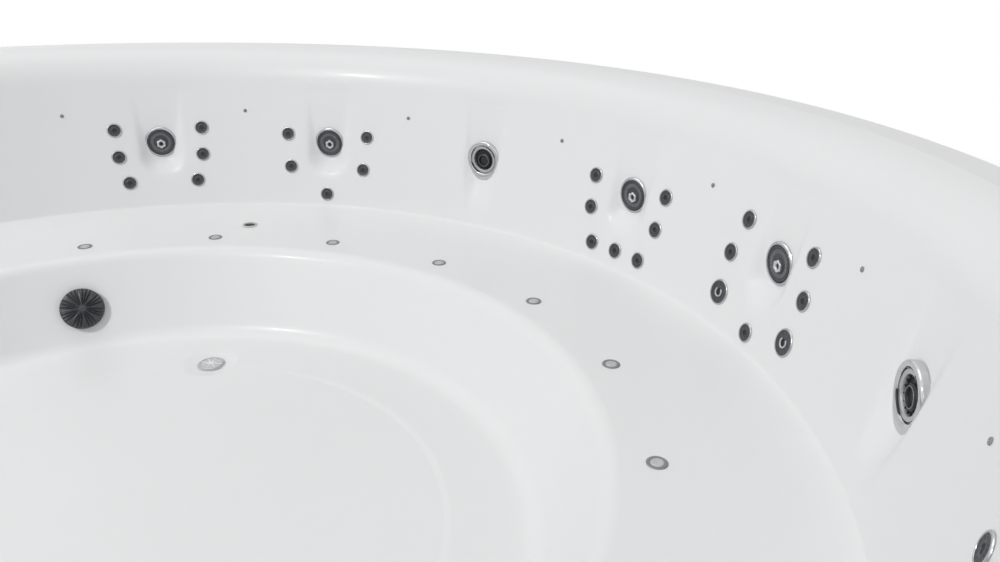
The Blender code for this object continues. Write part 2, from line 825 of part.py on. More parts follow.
def make_suction(parts, materials):
    """Make the two suction fittings with their pipe to the pump, and their covers."""
    seat = -suction_pad_depth + gap
    profile = [(0.0, seat + suction_flange_height), (suction_flange_radius, seat + suction_flange_height),
               (suction_flange_radius, seat), (suction_neck_radius, seat),
               (suction_neck_radius, -suction_tail_length), (0.0, -suction_tail_length)]
    ends = [riser_frame(angle) @ Vector((0, 0, suction_pipe_radius - suction_tail_length))
            for angle in (suction_angle, suction_angle + math.pi)]
    radius = ends[0].xy.length
    height = ends[0].z
    steps = station_count
    arc = ring_points(radius, height, steps, suction_angle, math.pi)
    bodies = joined([turned(profile, suction_sides, riser_frame(angle))
                     for angle in (suction_angle, suction_angle + math.pi)])
    pump_end = Vector((equipment_radius, inlet_end + gap, pump_z))
    bend = Vector((equipment_radius, inlet_end + 4 * suction_pipe_radius, pump_z))
    tee_angle = math.asin(bend.y / radius)
    branch = tube([pump_end, bend, around(radius * flat_scale, tee_angle, height)], suction_pipe_radius)
    pipe = united(tube(arc, suction_pipe_radius), bodies, branch)
    pipe.materials.append(materials["pipe"])
    new_object("suction_pipe", pipe, parts)
    base = seat + suction_flange_height + gap
    edge = base + suction_cover_edge
    top = base + suction_cover_height
    corners = [(0.0, top, 0.0, 0),
               (suction_cover_radius, top, suction_cover_height - suction_cover_edge, 2),
               (suction_cover_radius, edge, 0.0, 0), (suction_cover_radius, base, 0.0, 0),
               (0.0, base, 0.0, 0)]
    cover = turned(rounded(corners), suction_sides)
    cover.materials.append(materials["face"])
    for name, angle in (("suction_cover_front", suction_angle),
                        ("suction_cover_rear", suction_angle + math.pi)):
        item = new_object(name, cover, parts)
        item.matrix_world = riser_frame(angle)


def make_drain(parts, materials):
    """Make the drain fitting with its pipe and valve, its cover and the valve's handle."""
    frame = Matrix.Translation(around(drain_radius, drain_angle, floor_height))
    low = -drain_dish_depth + gap
    top = low + drain_flange_height
    elbow = around(drain_radius, drain_angle, drain_pipe_height)
    tail = drain_pipe_height - floor_height - drain_pipe_radius - drain_flange_height
    profile = [(0.0, top - 2 * drain_peg_length), (drain_bore_radius, top - 2 * drain_peg_length),
               (drain_bore_radius, top), (drain_flange_radius, top), (drain_flange_radius, low),
               (drain_neck_radius, low), (drain_neck_radius, tail), (0.0, tail)]
    fitting = turned(profile, drain_sides, frame)
    run = tube([elbow, around(drain_pipe_end, drain_angle, drain_pipe_height)], drain_pipe_radius, 8)
    valve_frame = Matrix.Translation(around(drain_pipe_end - valve_setback, drain_angle))
    stem_top = valve_body_top + valve_stem_length
    valve = turned([(0.0, stem_top), (valve_stem_radius, stem_top), (valve_stem_radius, valve_body_top),
                    (valve_body_radius, valve_body_top),
                    (valve_body_radius, drain_pipe_height - valve_body_radius),
                    (0.0, drain_pipe_height - valve_body_radius)], drain_sides, valve_frame)
    pipe = united(fitting, run, valve)
    pipe.materials.append(materials["pipe"])
    new_object("drain_pipe", pipe, parts)

    base = top + gap
    cover = turned([(0.0, base + drain_cover_thickness), (drain_cover_radius, base + drain_cover_thickness),
                    (drain_cover_radius, base), (drain_peg_radius, base),
                    (drain_peg_radius, base - drain_peg_length), (0.0, base - drain_peg_length)],
                   drain_sides, frame)
    cover.materials.append(materials["steel"])
    new_object("drain_cover", cover, parts)

    bore = valve_stem_radius + hole_clearance * 2
    hub = turned([(0.0, handle_thickness), (handle_hub_radius, handle_thickness), (handle_hub_radius, 0.0),
                  (0.0, 0.0)], drain_sides)
    lever = box((0.0, -handle_width / 2, 0.0), (handle_length, handle_width / 2, handle_thickness))
    handle = cut(united(hub, lever), hole_tool(bore, drain_sides, Matrix.Identity(4)))
    handle.materials.append(materials["handle"])
    item = new_object("drain_handle", handle, parts)
    item.matrix_world = (valve_frame @ Matrix.Translation((0, 0, valve_body_top + gap))
                         @ Matrix.Rotation(drain_angle + math.pi, 4, "Z"))


def make_return(parts, material):
    """Make the warm water return: the seat fitting and its pipe from the heater."""
    frame = Matrix.Translation(around(return_radius, return_angle, seat_height))
    profile = [(0.0, return_flange_height), (return_flange_radius, return_flange_height),
               (return_flange_radius, gap), (return_neck_radius, gap),
               (return_neck_radius, return_pipe_height - return_pipe_radius - seat_height),
               (0.0, return_pipe_height - return_pipe_radius - seat_height)]
    fitting = turned(profile, small_sides, frame)
    reach = (heater_length / 2 + gap) / equipment_radius
    start = heater_angle - math.atan(reach)
    heater_end = heater_frame() @ Vector((0, 0, -heater_length / 2 - gap))
    bend = heater_frame() @ Vector((0, 0, -heater_length / 2 - 2 * heater_neck_radius))
    first = start - 4 * heater_neck_radius / equipment_radius
    arc = ring_points(return_radius, return_pipe_height, station_count, first, return_angle - first)
    pipe = united(tube([heater_end, bend, *arc], return_pipe_radius), fitting)
    pipe.materials.append(material)
    new_object("return_pipe", pipe, parts)


def heater_frame():
    """Return the heater's frame: +Z along it, towards the filter."""
    return (Matrix.Rotation(heater_angle, 4, "Z") @ Matrix.Translation((equipment_radius, 0, heater_z))
            @ Matrix.Rotation(math.radians(-90), 4, "X"))


def stand(x_low, x_high, y_low, y_high, top, turn):
    """Return a block from the base's top to a height, turned about the tub's centre."""
    return box((x_low, y_low, base_thickness + gap), (x_high, y_high, top), Matrix.Rotation(turn, 4, "Z"))


def make_heater(parts, material):
    """Make the heater tube with its unions and its stand."""
    half = heater_length / 2
    neck = half - heater_body_radius
    body = turned([(0.0, half), (heater_neck_radius, half), (heater_neck_radius, neck),
                   (heater_body_radius, neck), (heater_body_radius, -neck), (heater_neck_radius, -neck),
                   (heater_neck_radius, -half), (0.0, -half)], drain_sides, heater_frame())
    foot = stand(equipment_radius - heater_body_radius / 2, equipment_radius + heater_body_radius / 2,
                 -neck / 2, neck / 2, heater_z, heater_angle)
    mesh = united(body, foot)
    mesh.materials.append(material)
    new_object("heater", mesh, parts)


def make_filter(parts, materials):
    """Make the filter canister, its pipe to the heater, and its lid with the cartridge."""
    frame = Matrix.Translation(around(equipment_radius, filter_angle))
    low = base_thickness + gap
    wall = filter_body_radius - filter_cavity_radius
    body = turned([(0.0, low + wall), (filter_cavity_radius, low + wall),
                   (filter_cavity_radius, filter_body_top), (filter_body_radius, filter_body_top),
                   (filter_body_radius, low), (0.0, low)], filter_sides, frame)
    heater_end = heater_frame() @ Vector((0, 0, heater_length / 2 + gap))
    bend = heater_frame() @ Vector((0, 0, heater_length / 2 + return_pipe_radius))
    inside = around(equipment_radius, filter_angle, heater_z)
    wall_point = inside + (bend - inside).normalized() * (filter_body_radius - wall / 2)
    link = tube([heater_end, bend, wall_point], return_pipe_radius)
    mesh = united(body, link)
    mesh.materials.append(materials["equipment"])
    new_object("filter_canister", mesh, parts)

    base = filter_body_top + gap
    top = base + filter_lid_thickness
    plug = filter_cavity_radius * math.cos(math.pi / filter_sides) - 2 * hole_clearance
    plug_end = base - filter_lid_thickness
    foot = low + wall + filter_cartridge_foot_gap
    lid = turned([(0.0, top), (filter_lid_radius, top), (filter_lid_radius, base), (plug, base),
                  (plug, plug_end), (filter_cartridge_radius, plug_end),
                  (filter_cartridge_radius, foot), (0.0, foot)], filter_sides)
    grip = box((-filter_grip_length / 2, -filter_grip_width / 2, top - filter_lid_thickness / 2),
               (filter_grip_length / 2, filter_grip_width / 2, top + filter_grip_height))
    lid = united(lid, grip)
    lid.materials.append(materials["face"])
    item = new_object("filter_lid", lid, parts)
    item.matrix_world = frame


def make_blower(parts, material):
    """Make the air blower."""
    low = base_thickness + gap
    frame = Matrix.Translation(around(blower_radius, blower_angle))
    neck_low = blower_body_top - blower_body_radius / 2
    shoulder = blower_body_radius * blower_shoulder_share
    mesh = turned([(0.0, blower_body_top), (blower_neck_radius, blower_body_top),
                   (blower_neck_radius, neck_low + blower_neck_radius), (shoulder, neck_low),
                   (blower_body_radius, neck_low - blower_neck_radius), (blower_body_radius, low),
                   (0.0, low)], filter_sides, frame)
    mesh.materials.append(material)
    new_object("air_blower", mesh, parts)


def make_pump(parts, materials):
    """Make the jet pump's casing and motor, and the impeller on its shaft."""
    along = (Matrix.Translation((equipment_radius, 0, pump_z)) @ Matrix.Rotation(math.radians(-90), 4, "X"))
    cavity = casing_radius - casing_wall
    cavity_low = casing_start + casing_wall
    cavity_high = casing_end - casing_wall
    shaft_depth = motor_end - motor_radius
    body = turned([(0.0, inlet_end), (pump_neck_radius, inlet_end), (pump_neck_radius, casing_end),
                   (casing_radius, casing_end), (casing_radius, casing_start - casing_wall / 2),
                   (motor_radius, casing_start - casing_wall), (motor_radius, motor_start),
                   (0.0, motor_start)], pump_sides, along)
    hollow = turned([(0.0, inlet_end + cut_overrun), (pump_bore_radius, inlet_end + cut_overrun),
                     (pump_bore_radius, cavity_high), (cavity, cavity_high), (cavity, cavity_low),
                     (shaft_bore_radius, cavity_low), (shaft_bore_radius, shaft_depth),
                     (0.0, shaft_depth)], pump_sides, along)
    outlet_y = (casing_start + casing_end) / 2
    outlet_x = equipment_radius + casing_radius + outlet_end_setback
    inlet_x = equipment_radius + cavity - casing_wall
    outlet = tube([(inlet_x, outlet_y, pump_z), (outlet_x, outlet_y, pump_z)], pump_neck_radius, 8)
    foot = stand(equipment_radius - foot_width / 2, equipment_radius + foot_width / 2,
                 -foot_length / 2, foot_length / 4, pump_z, 0.0)
    casing = cut(united(body, outlet, foot), hollow)
    casing.materials.append(materials["equipment"])
    new_object("jet_pump", casing, parts)

    back = cavity_low + impeller_back_gap
    disc = turned([(0.0, back + impeller_thickness), (vane_start_radius, back + impeller_thickness),
                   (vane_start_radius, back + impeller_thickness - vane_height),
                   (impeller_radius, back + impeller_thickness - vane_height), (impeller_radius, back),
                   (shaft_radius, back), (shaft_radius, shaft_depth + gap), (0.0, shaft_depth + gap)],
                  pump_sides)
    vane_top = back + impeller_thickness - vane_thickness / 2
    vanes = []
    for number in range(vane_count):
        vanes.append(box((vane_start_radius - vane_thickness, -vane_thickness / 2, vane_top - vane_height),
                         (vane_end_radius, vane_thickness / 2, vane_top),
                         Matrix.Rotation(2 * math.pi * number / vane_count, 4, "Z")))
    impeller = united(disc, joined(vanes))
    impeller.materials.append(materials["face"])
    item = new_object("pump_impeller", impeller, parts)
    item.matrix_world = along


def make_control_box(parts, material):
    """Make the control box, hung on a frame post beside the door."""
    outer = panel_inner_radius - gap - post_depth - gap
    mesh = box((outer - control_depth, -control_width / 2, control_bottom),
               (outer, control_width / 2, control_bottom + control_height),
               Matrix.Rotation(control_angle, 4, "Z"))
    mesh.materials.append(material)
    new_object("control_box", mesh, parts)


def make_keypad(parts, materials):
    """Make the keypad on the rim and its buttons."""
    turn = Matrix.Rotation(keypad_angle, 4, "Z")
    base = band_height + gap
    top = base + keypad_plate
    plate = box((keypad_radius - keypad_width / 2, -keypad_length / 2, base),
                (keypad_radius + keypad_width / 2, keypad_length / 2, top), turn)
    body = box((keypad_radius - keypad_body_width / 2, -keypad_body_length / 2, base - keypad_body_depth),
               (keypad_radius + keypad_body_width / 2, keypad_body_length / 2, base + keypad_plate / 2),
               turn)
    floor = top - button_recess
    places = [Vector((keypad_radius, (k - (button_count - 1) / 2) * button_pitch, 0))
              for k in range(button_count)]
    recesses = [turned([(0.0, top + cut_overrun), (button_recess_radius, top + cut_overrun),
                        (button_recess_radius, floor), (0.0, floor)], small_sides * 2,
                       turn @ Matrix.Translation(place)) for place in places]
    mesh = cut(united(plate, body), joined(recesses))
    mesh.materials.append(materials["face"])
    new_object("keypad", mesh, parts)
    low = floor + gap + button_travel
    button = turned([(0.0, top + button_rise), (button_radius, top + button_rise), (button_radius, low),
                     (0.0, low)], small_sides * 2)
    button.materials.append(materials["steel"])
    for number, place in enumerate(places, 1):
        item = new_object(f"keypad_button_{number}", button, parts)
        item.matrix_world = turn @ Matrix.Translation(place)


def make_base(parts, material):
    """Make the base with its plinth under the footwell."""
    scale = 1 / math.cos(math.pi / base_facets)
    mesh = turned([(0.0, floor_height - skin - gap), (plinth_radius, floor_height - skin - gap),
                   (plinth_radius, base_thickness), (base_radius * scale, base_thickness),
                   (base_radius * scale, 0.0), (0.0, 0.0)], base_facets)
    mesh.materials.append(material)
    new_object("base", mesh, parts)


def make_frame(parts, material):
    """Make the frame: a ring under the rim on posts that stand on the base."""
    top = band_underside - gap
    low = top - frame_ring_depth
    scale = 1 / math.cos(math.pi / frame_facets)
    build = bmesh.new()
    corners = [(frame_ring_inner, low), (frame_ring_outer, low), (frame_ring_outer, top),
               (frame_ring_inner, top)]
    corners = [build.verts.new((radius * scale, 0, height)) for radius, height in corners]
    edges = [build.edges.new((corners[k - 1], corners[k])) for k in range(len(corners))]
    bmesh.ops.spin(build, geom=corners + edges, axis=(0, 0, 1), cent=(0, 0, 0), angle=2 * math.pi,
                   steps=frame_facets, use_merge=True)
    bmesh.ops.remove_doubles(build, verts=build.verts, dist=weld_distance)
    bmesh.ops.recalc_face_normals(build, faces=build.faces)
    ring = bpy.data.meshes.new("frame_ring")
    build.to_mesh(ring)
    build.free()
    outer = panel_inner_radius - gap
    posts = []
    for number in range(post_count):
        angle = 2 * math.pi * (number + 0.5) / post_count
        posts.append(box((outer - post_depth, -post_width / 2, base_thickness + gap),
                         (outer, post_width / 2, low + frame_ring_depth / 2),
                         Matrix.Rotation(angle, 4, "Z")))
    mesh = united(ring, joined(posts))
    mesh.materials.append(material)
    new_object("frame", mesh, parts)


def make_panels(parts, materials):
    """Make the cabinet's panels; the first is the door, whose origin is on its hinge."""
    span = 2 * math.pi / panel_count
    trim = panel_joint / 2 / panel_inner_radius
    inner = panel_inner_radius * panel_scale
    outer = (panel_inner_radius + panel_thickness) * panel_scale
    angles = [-span / 2 + span * k / panel_facets for k in range(panel_facets + 1)]
    angles[0] += trim
    angles[-1] -= trim
    outline = [around(outer, angle)[:2] for angle in angles]
    outline += [around(inner, angle)[:2] for angle in reversed(angles)]
    for number in range(panel_count):
        turn = span * number
        if number == 0:
            name = "access_door"
            hinge = around(outer + hinge_reach, span / 2)
        else:
            name = f"cabinet_panel_{number}"
            hinge = Vector((0, 0, 0))
        mesh = slab(outline, panel_bottom, panel_top, Matrix.Rotation(turn, 4, "Z"))
        mesh.transform(Matrix.Translation(-hinge))
        mesh.materials.append(materials["panel"])
        item = new_object(name, mesh, parts)
        item.location = hinge


def make_materials():
    """Return the finishes by name."""
    return {
        "shell": make_material("white_acrylic", (0.80, 0.80, 0.81), 0.15, 0.0),
        "pipe": make_material("pale_pipe", (0.55, 0.56, 0.57), 0.4, 0.0),
        "face": make_material("dark_plastic", (0.05, 0.055, 0.06), 0.4, 0.0),
        "chrome": make_material("chrome", (0.70, 0.71, 0.72), 0.08, 1.0),
        "steel": make_material("steel", (0.60, 0.61, 0.62), 0.3, 1.0),
        "lamp": make_material("lamp_lens", (0.45, 0.46, 0.48), 0.3, 0.0),
        "handle": make_material("red_handle", (0.55, 0.06, 0.04), 0.45, 0.0),
        "equipment": make_material("grey_equipment", (0.12, 0.12, 0.13), 0.5, 0.0),
        "frame": make_material("planed_timber", (0.50, 0.36, 0.22), 0.7, 0.0),
        "panel": make_material("panel_white", (0.72, 0.72, 0.73), 0.35, 0.0),
        "base": make_material("base_grey", (0.20, 0.20, 0.21), 0.6, 0.0),
    }


def main():
    """Build the hot tub."""
    clear_scene()
    parts = make_collection("hot_tub")
    cutters = make_collection("cutters")
    materials = make_materials()
    make_shell(parts, cutters, materials["shell"])
    make_jets(parts, materials)
    make_water_ring(parts, materials["pipe"])
    make_lamps(parts, materials["lamp"])
    make_air_ring(parts, materials["steel"])
    make_suction(parts, materials)
    make_drain(parts, materials)
    make_return(parts, materials["pipe"])
    make_heater(parts, materials["steel"])
    make_filter(parts, materials)
    make_blower(parts, materials["equipment"])
    make_pump(parts, materials)
    make_control_box(parts, materials["equipment"])
    make_keypad(parts, materials)
    make_base(parts, materials["base"])
    make_frame(parts, materials["frame"])
    make_panels(parts, materials)


main()
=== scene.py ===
"""Round hot tub: moulding, jets, fittings, plumbing, equipment and cabinet, with their finishes."""

import logging
import math
from collections.abc import Callable, Iterable, Sequence
from dataclasses import dataclass, field
from enum import Enum

import bmesh
import bpy
from mathutils import Matrix, Vector


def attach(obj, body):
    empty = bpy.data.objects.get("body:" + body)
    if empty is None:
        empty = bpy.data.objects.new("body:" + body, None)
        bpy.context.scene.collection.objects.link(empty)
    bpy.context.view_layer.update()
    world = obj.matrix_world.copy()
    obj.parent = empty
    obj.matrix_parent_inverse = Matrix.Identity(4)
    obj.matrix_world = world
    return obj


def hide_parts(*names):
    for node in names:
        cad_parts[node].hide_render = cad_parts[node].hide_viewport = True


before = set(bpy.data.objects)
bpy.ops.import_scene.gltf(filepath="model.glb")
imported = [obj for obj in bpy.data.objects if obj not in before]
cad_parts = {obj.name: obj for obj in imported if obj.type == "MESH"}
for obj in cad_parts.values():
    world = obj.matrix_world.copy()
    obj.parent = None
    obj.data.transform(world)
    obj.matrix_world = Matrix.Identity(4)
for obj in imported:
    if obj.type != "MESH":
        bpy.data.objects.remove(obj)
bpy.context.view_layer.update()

log = logging.getLogger("hot_tub")
Point = tuple[float, float]
Corner = Point | tuple[float, float, float, int]
Colour = tuple[float, float, float]
Link = tuple[bpy.types.Node, str, bpy.types.Node, int | str]
WELD = 0.00001


class Position(Enum):
    """The kinds of bathing position, by their jets."""

    CURVED_BACK = "a"
    ARCHED_BACK = "b"
    SWIRL = "swirl"
    FULL_BACK = "c"
    LUMBAR = "d"


class Grain(Enum):
    """The kinds of surface relief that a finish can have."""

    SMOOTH = "smooth"
    MOULDED = "moulded"
    BRUSHED = "brushed"
    TIMBER = "timber"


@dataclass(frozen=True)
class Layout:
    """The tub's shared sizes, in metres and radians."""

    floor: float = 0.128
    seat: float = 0.3875
    lamps: float = 0.7375
    rim: float = 0.960
    band: float = 0.954
    lamp_radius: float = 1.600
    lean_share: float = 0.24
    lip_radius: float = 1.742
    rim_radius: float = 1.838
    seat_back: float = 1.516
    nose: float = 1.075
    toe: float = 0.945
    nose_round: float = 0.048
    toe_round: float = 0.065
    pocket_radius: float = 1.597
    ring_radius: float = 1.655
    ring_height: float = 0.220
    stations: int = 16
    entry: float = math.radians(-90)
    large_drop: float = 0.112
    equipment: float = 1.400
    board: float = 0.020
    panel_inner: float = 1.785
    panel: float = 0.015
    panel_top: float = 0.895
    panel_bottom: float = 0.010
    skin: float = 0.012
    gap: float = 0.0003
    post: float = 0.040
    pump_height: float = 0.150
    line_height: float = 0.190
    heater_turn: float = math.radians(-31)
    filter_turn: float = math.radians(-17.5)
    blower_turn: float = math.radians(27)
    blower_radius: float = 1.420

    @property
    def pitch(self) -> float:
        """Return the angle between two bathing positions."""
        return 2 * math.pi / self.stations

    @property
    def wall_rise(self) -> float:
        """Return the wall's height from the seat to the lamps."""
        return self.lamps - self.seat

    def wall_radius(self, height: float) -> float:
        """Return the wall's radius at a height."""
        return self.lamp_radius + self.lean_share * (height - self.lamps)

    def turn(self, number: float) -> float:
        """Return the angle of a bathing position, counted clockwise from the entry."""
        return self.entry - number * self.pitch


TUB = Layout()
ORDER = [Position(letter) for letter in ("a", "b", "swirl", "c", "d", "swirl", "a", "b", "swirl",
                                         "c", "d", "swirl", "a", "b", "swirl")]


def add_node(tree: bpy.types.NodeTree, kind: str, **values: float | tuple) -> bpy.types.Node:
    """Add a node to a tree.

    Args:
        tree: the tree.
        kind: the node's kind.
        values: the constants of its sockets.

    Returns:
        The node.
    """
    made = tree.nodes.new(kind)
    for name, value in values.items():
        made.inputs[name].default_value = value
    return made


def wire(tree: bpy.types.NodeTree, *links: Link) -> None:
    """Link sockets of a tree's nodes.

    Args:
        tree: the tree.
        links: each link's first node and its output, and its second node and its input.
    """
    for first, output, second, entry in links:
        tree.links.new(first.outputs[output], second.inputs[entry])


@dataclass(frozen=True)
class Finish:
    """A procedural finish, read from Object coordinates."""

    name: str
    colour: Colour
    roughness: float
    metallic: float = 0.0
    coat: float = 0.0
    coat_roughness: float = 0.06
    specular: float = 0.5
    grain: Grain = Grain.SMOOTH
    scale: float = 12.0
    relief: float = 0.0
    variation: float = 0.02
    polish_variation: float = 0.2

    def material(self) -> bpy.types.Material:
        """Make the finish's material, or find it where it's made already.

        Returns:
            The material.
        """
        found = bpy.data.materials.get(self.name)
        if found is not None:
            return found
        made = bpy.data.materials.new(self.name)
        made.use_nodes = True
        self._dress(made.node_tree)
        return made

    def _dress(self, tree: bpy.types.NodeTree) -> None:
        """Wire colour, polish and relief into the shader.

        Args:
            tree: the material's node tree.
        """
        shader = tree.nodes["Principled BSDF"]
        for name, value in (("Metallic", self.metallic), ("Coat Weight", self.coat),
                            ("Coat Roughness", self.coat_roughness),
                            ("Specular IOR Level", self.specular)):
            shader.inputs[name].default_value = value
        place = add_node(tree, "ShaderNodeTexCoord")
        stretch = add_node(tree, "ShaderNodeMapping", Scale={
            Grain.SMOOTH: (1.0, 1.0, 1.0), Grain.MOULDED: (1.0, 1.0, 1.0),
            Grain.BRUSHED: (1.0, 1.0, 14.0), Grain.TIMBER: (6.0, 6.0, 0.5)}[self.grain])
        noise = add_node(tree, "ShaderNodeTexNoise", Scale=self.scale, Detail=5.0)
        ramp = add_node(tree, "ShaderNodeValToRGB")
        low = tuple(max(0.0, share * (1 - self.variation)) for share in self.colour)
        high = tuple(min(1.0, share * (1 + self.variation)) for share in self.colour)
        for stop, spot, shade in zip(ramp.color_ramp.elements, (0.3, 0.7), (low, high)):
            stop.position = spot
            stop.color = (*shade, 1.0)
        polish = add_node(tree, "ShaderNodeMapRange")
        polish.inputs["To Min"].default_value = self.roughness * (1 - self.polish_variation)
        polish.inputs["To Max"].default_value = self.roughness * (1 + self.polish_variation)
        wire(tree, (place, "Object", stretch, "Vector"), (stretch, "Vector", noise, "Vector"),
             (noise, "Fac", ramp, "Fac"), (ramp, "Color", shader, "Base Color"),
             (noise, "Fac", polish, "Value"), (polish, "Result", shader, "Roughness"))
        if self.relief:
            self._raise(tree, stretch, shader)

    def _raise(self, tree: bpy.types.NodeTree, stretch: bpy.types.Node,
               shader: bpy.types.Node) -> None:
        """Add fine relief to the shader.

        Args:
            tree: the material's node tree.
            stretch: the mapping that stretches the grain.
            shader: the Principled node.
        """
        fine = add_node(tree, "ShaderNodeTexNoise", Scale=self.scale * 8, Detail=3.0)
        bump = add_node(tree, "ShaderNodeBump", Strength=0.35, Distance=self.relief)
        wire(tree, (stretch, "Vector", fine, "Vector"), (fine, "Fac", bump, "Height"),
             (bump, "Normal", shader, "Normal"))


ACRYLIC = Finish("white_acrylic", (0.820, 0.822, 0.825), 0.36, coat=0.05, coat_roughness=0.12,
                 specular=0.25, scale=1.6, variation=0.006)
DARK = Finish("dark_jet_plastic", (0.046, 0.049, 0.054), 0.42, grain=Grain.MOULDED, scale=60.0,
              relief=0.0002, variation=0.12)
RIBBED = Finish("ribbed_jet_plastic", (0.115, 0.120, 0.128), 0.40, grain=Grain.MOULDED, scale=60.0,
                relief=0.0002, variation=0.12)
# Black for bores, nozzles, ribs and the keypad screen; it also colours the painted shade and dark
# reflection arcs in the swirl rings' grooves.
BLACK = Finish("black_bore_and_painted_shade", (0.012, 0.012, 0.014), 0.5, grain=Grain.MOULDED, scale=80.0,
               relief=0.0002, variation=0.15)
STAINLESS = Finish("stainless_trim", (0.50, 0.51, 0.52), 0.26, metallic=1.0, grain=Grain.BRUSHED,
                   scale=120.0, relief=0.00005, variation=0.04)
CHROME = Finish("polished_chrome", (0.60, 0.61, 0.62), 0.10, metallic=1.0, scale=20.0)
CAP_RIM = Finish("cap_rim", (0.22, 0.225, 0.23), 0.36, metallic=0.2, grain=Grain.MOULDED,
                 scale=70.0, relief=0.0001, variation=0.06)
SATIN = Finish("satin_chrome", (0.48, 0.485, 0.49), 0.38, metallic=0.7, scale=60.0, variation=0.03)
EYELET = Finish("nozzle_trim", (0.62, 0.63, 0.65), 0.30, metallic=0.6, scale=80.0, variation=0.05)
PIPE = Finish("white_pipe", (0.60, 0.60, 0.59), 0.38, grain=Grain.MOULDED, scale=25.0,
              relief=0.0002, variation=0.03)
HOSE = Finish("clear_hose", (0.52, 0.55, 0.56), 0.30, coat=0.3, scale=30.0, variation=0.05)
LENS = Finish("lamp_lens", (0.23, 0.24, 0.255), 0.25, coat=0.4, scale=60.0, variation=0.06)
SILVER = Finish("silver_cap", (0.50, 0.51, 0.525), 0.34, metallic=0.35, grain=Grain.MOULDED,
                scale=70.0, relief=0.0001, variation=0.06)
GRILLE = Finish("pale_grille", (0.80, 0.80, 0.80), 0.35, grain=Grain.MOULDED, scale=60.0,
                relief=0.0001, variation=0.03)
VENT = Finish("grille_recess", (0.56, 0.565, 0.57), 0.50, grain=Grain.MOULDED, scale=60.0,
              relief=0.0001, variation=0.04)
RED = Finish("red_handle", (0.55, 0.06, 0.04), 0.40, grain=Grain.MOULDED, scale=50.0,
             relief=0.0003, variation=0.06)
CHARCOAL = Finish("charcoal_housing", (0.075, 0.078, 0.083), 0.45, grain=Grain.MOULDED, scale=60.0,
                  relief=0.0004, variation=0.10)
MOTOR = Finish("motor_paint", (0.16, 0.17, 0.19), 0.38, coat=0.2, grain=Grain.MOULDED, scale=40.0,
               relief=0.0003, variation=0.06)
TIMBER = Finish("planed_timber", (0.52, 0.36, 0.20), 0.58, grain=Grain.TIMBER, scale=9.0,
                relief=0.0012, variation=0.16)
CLADDING = Finish("pale_cladding", (0.62, 0.62, 0.61), 0.48, grain=Grain.TIMBER, scale=5.0,
                  relief=0.0010, variation=0.035)
BASE_BOARD = Finish("base_board", (0.17, 0.17, 0.175), 0.62, grain=Grain.MOULDED, scale=30.0,
                    relief=0.0006, variation=0.10)


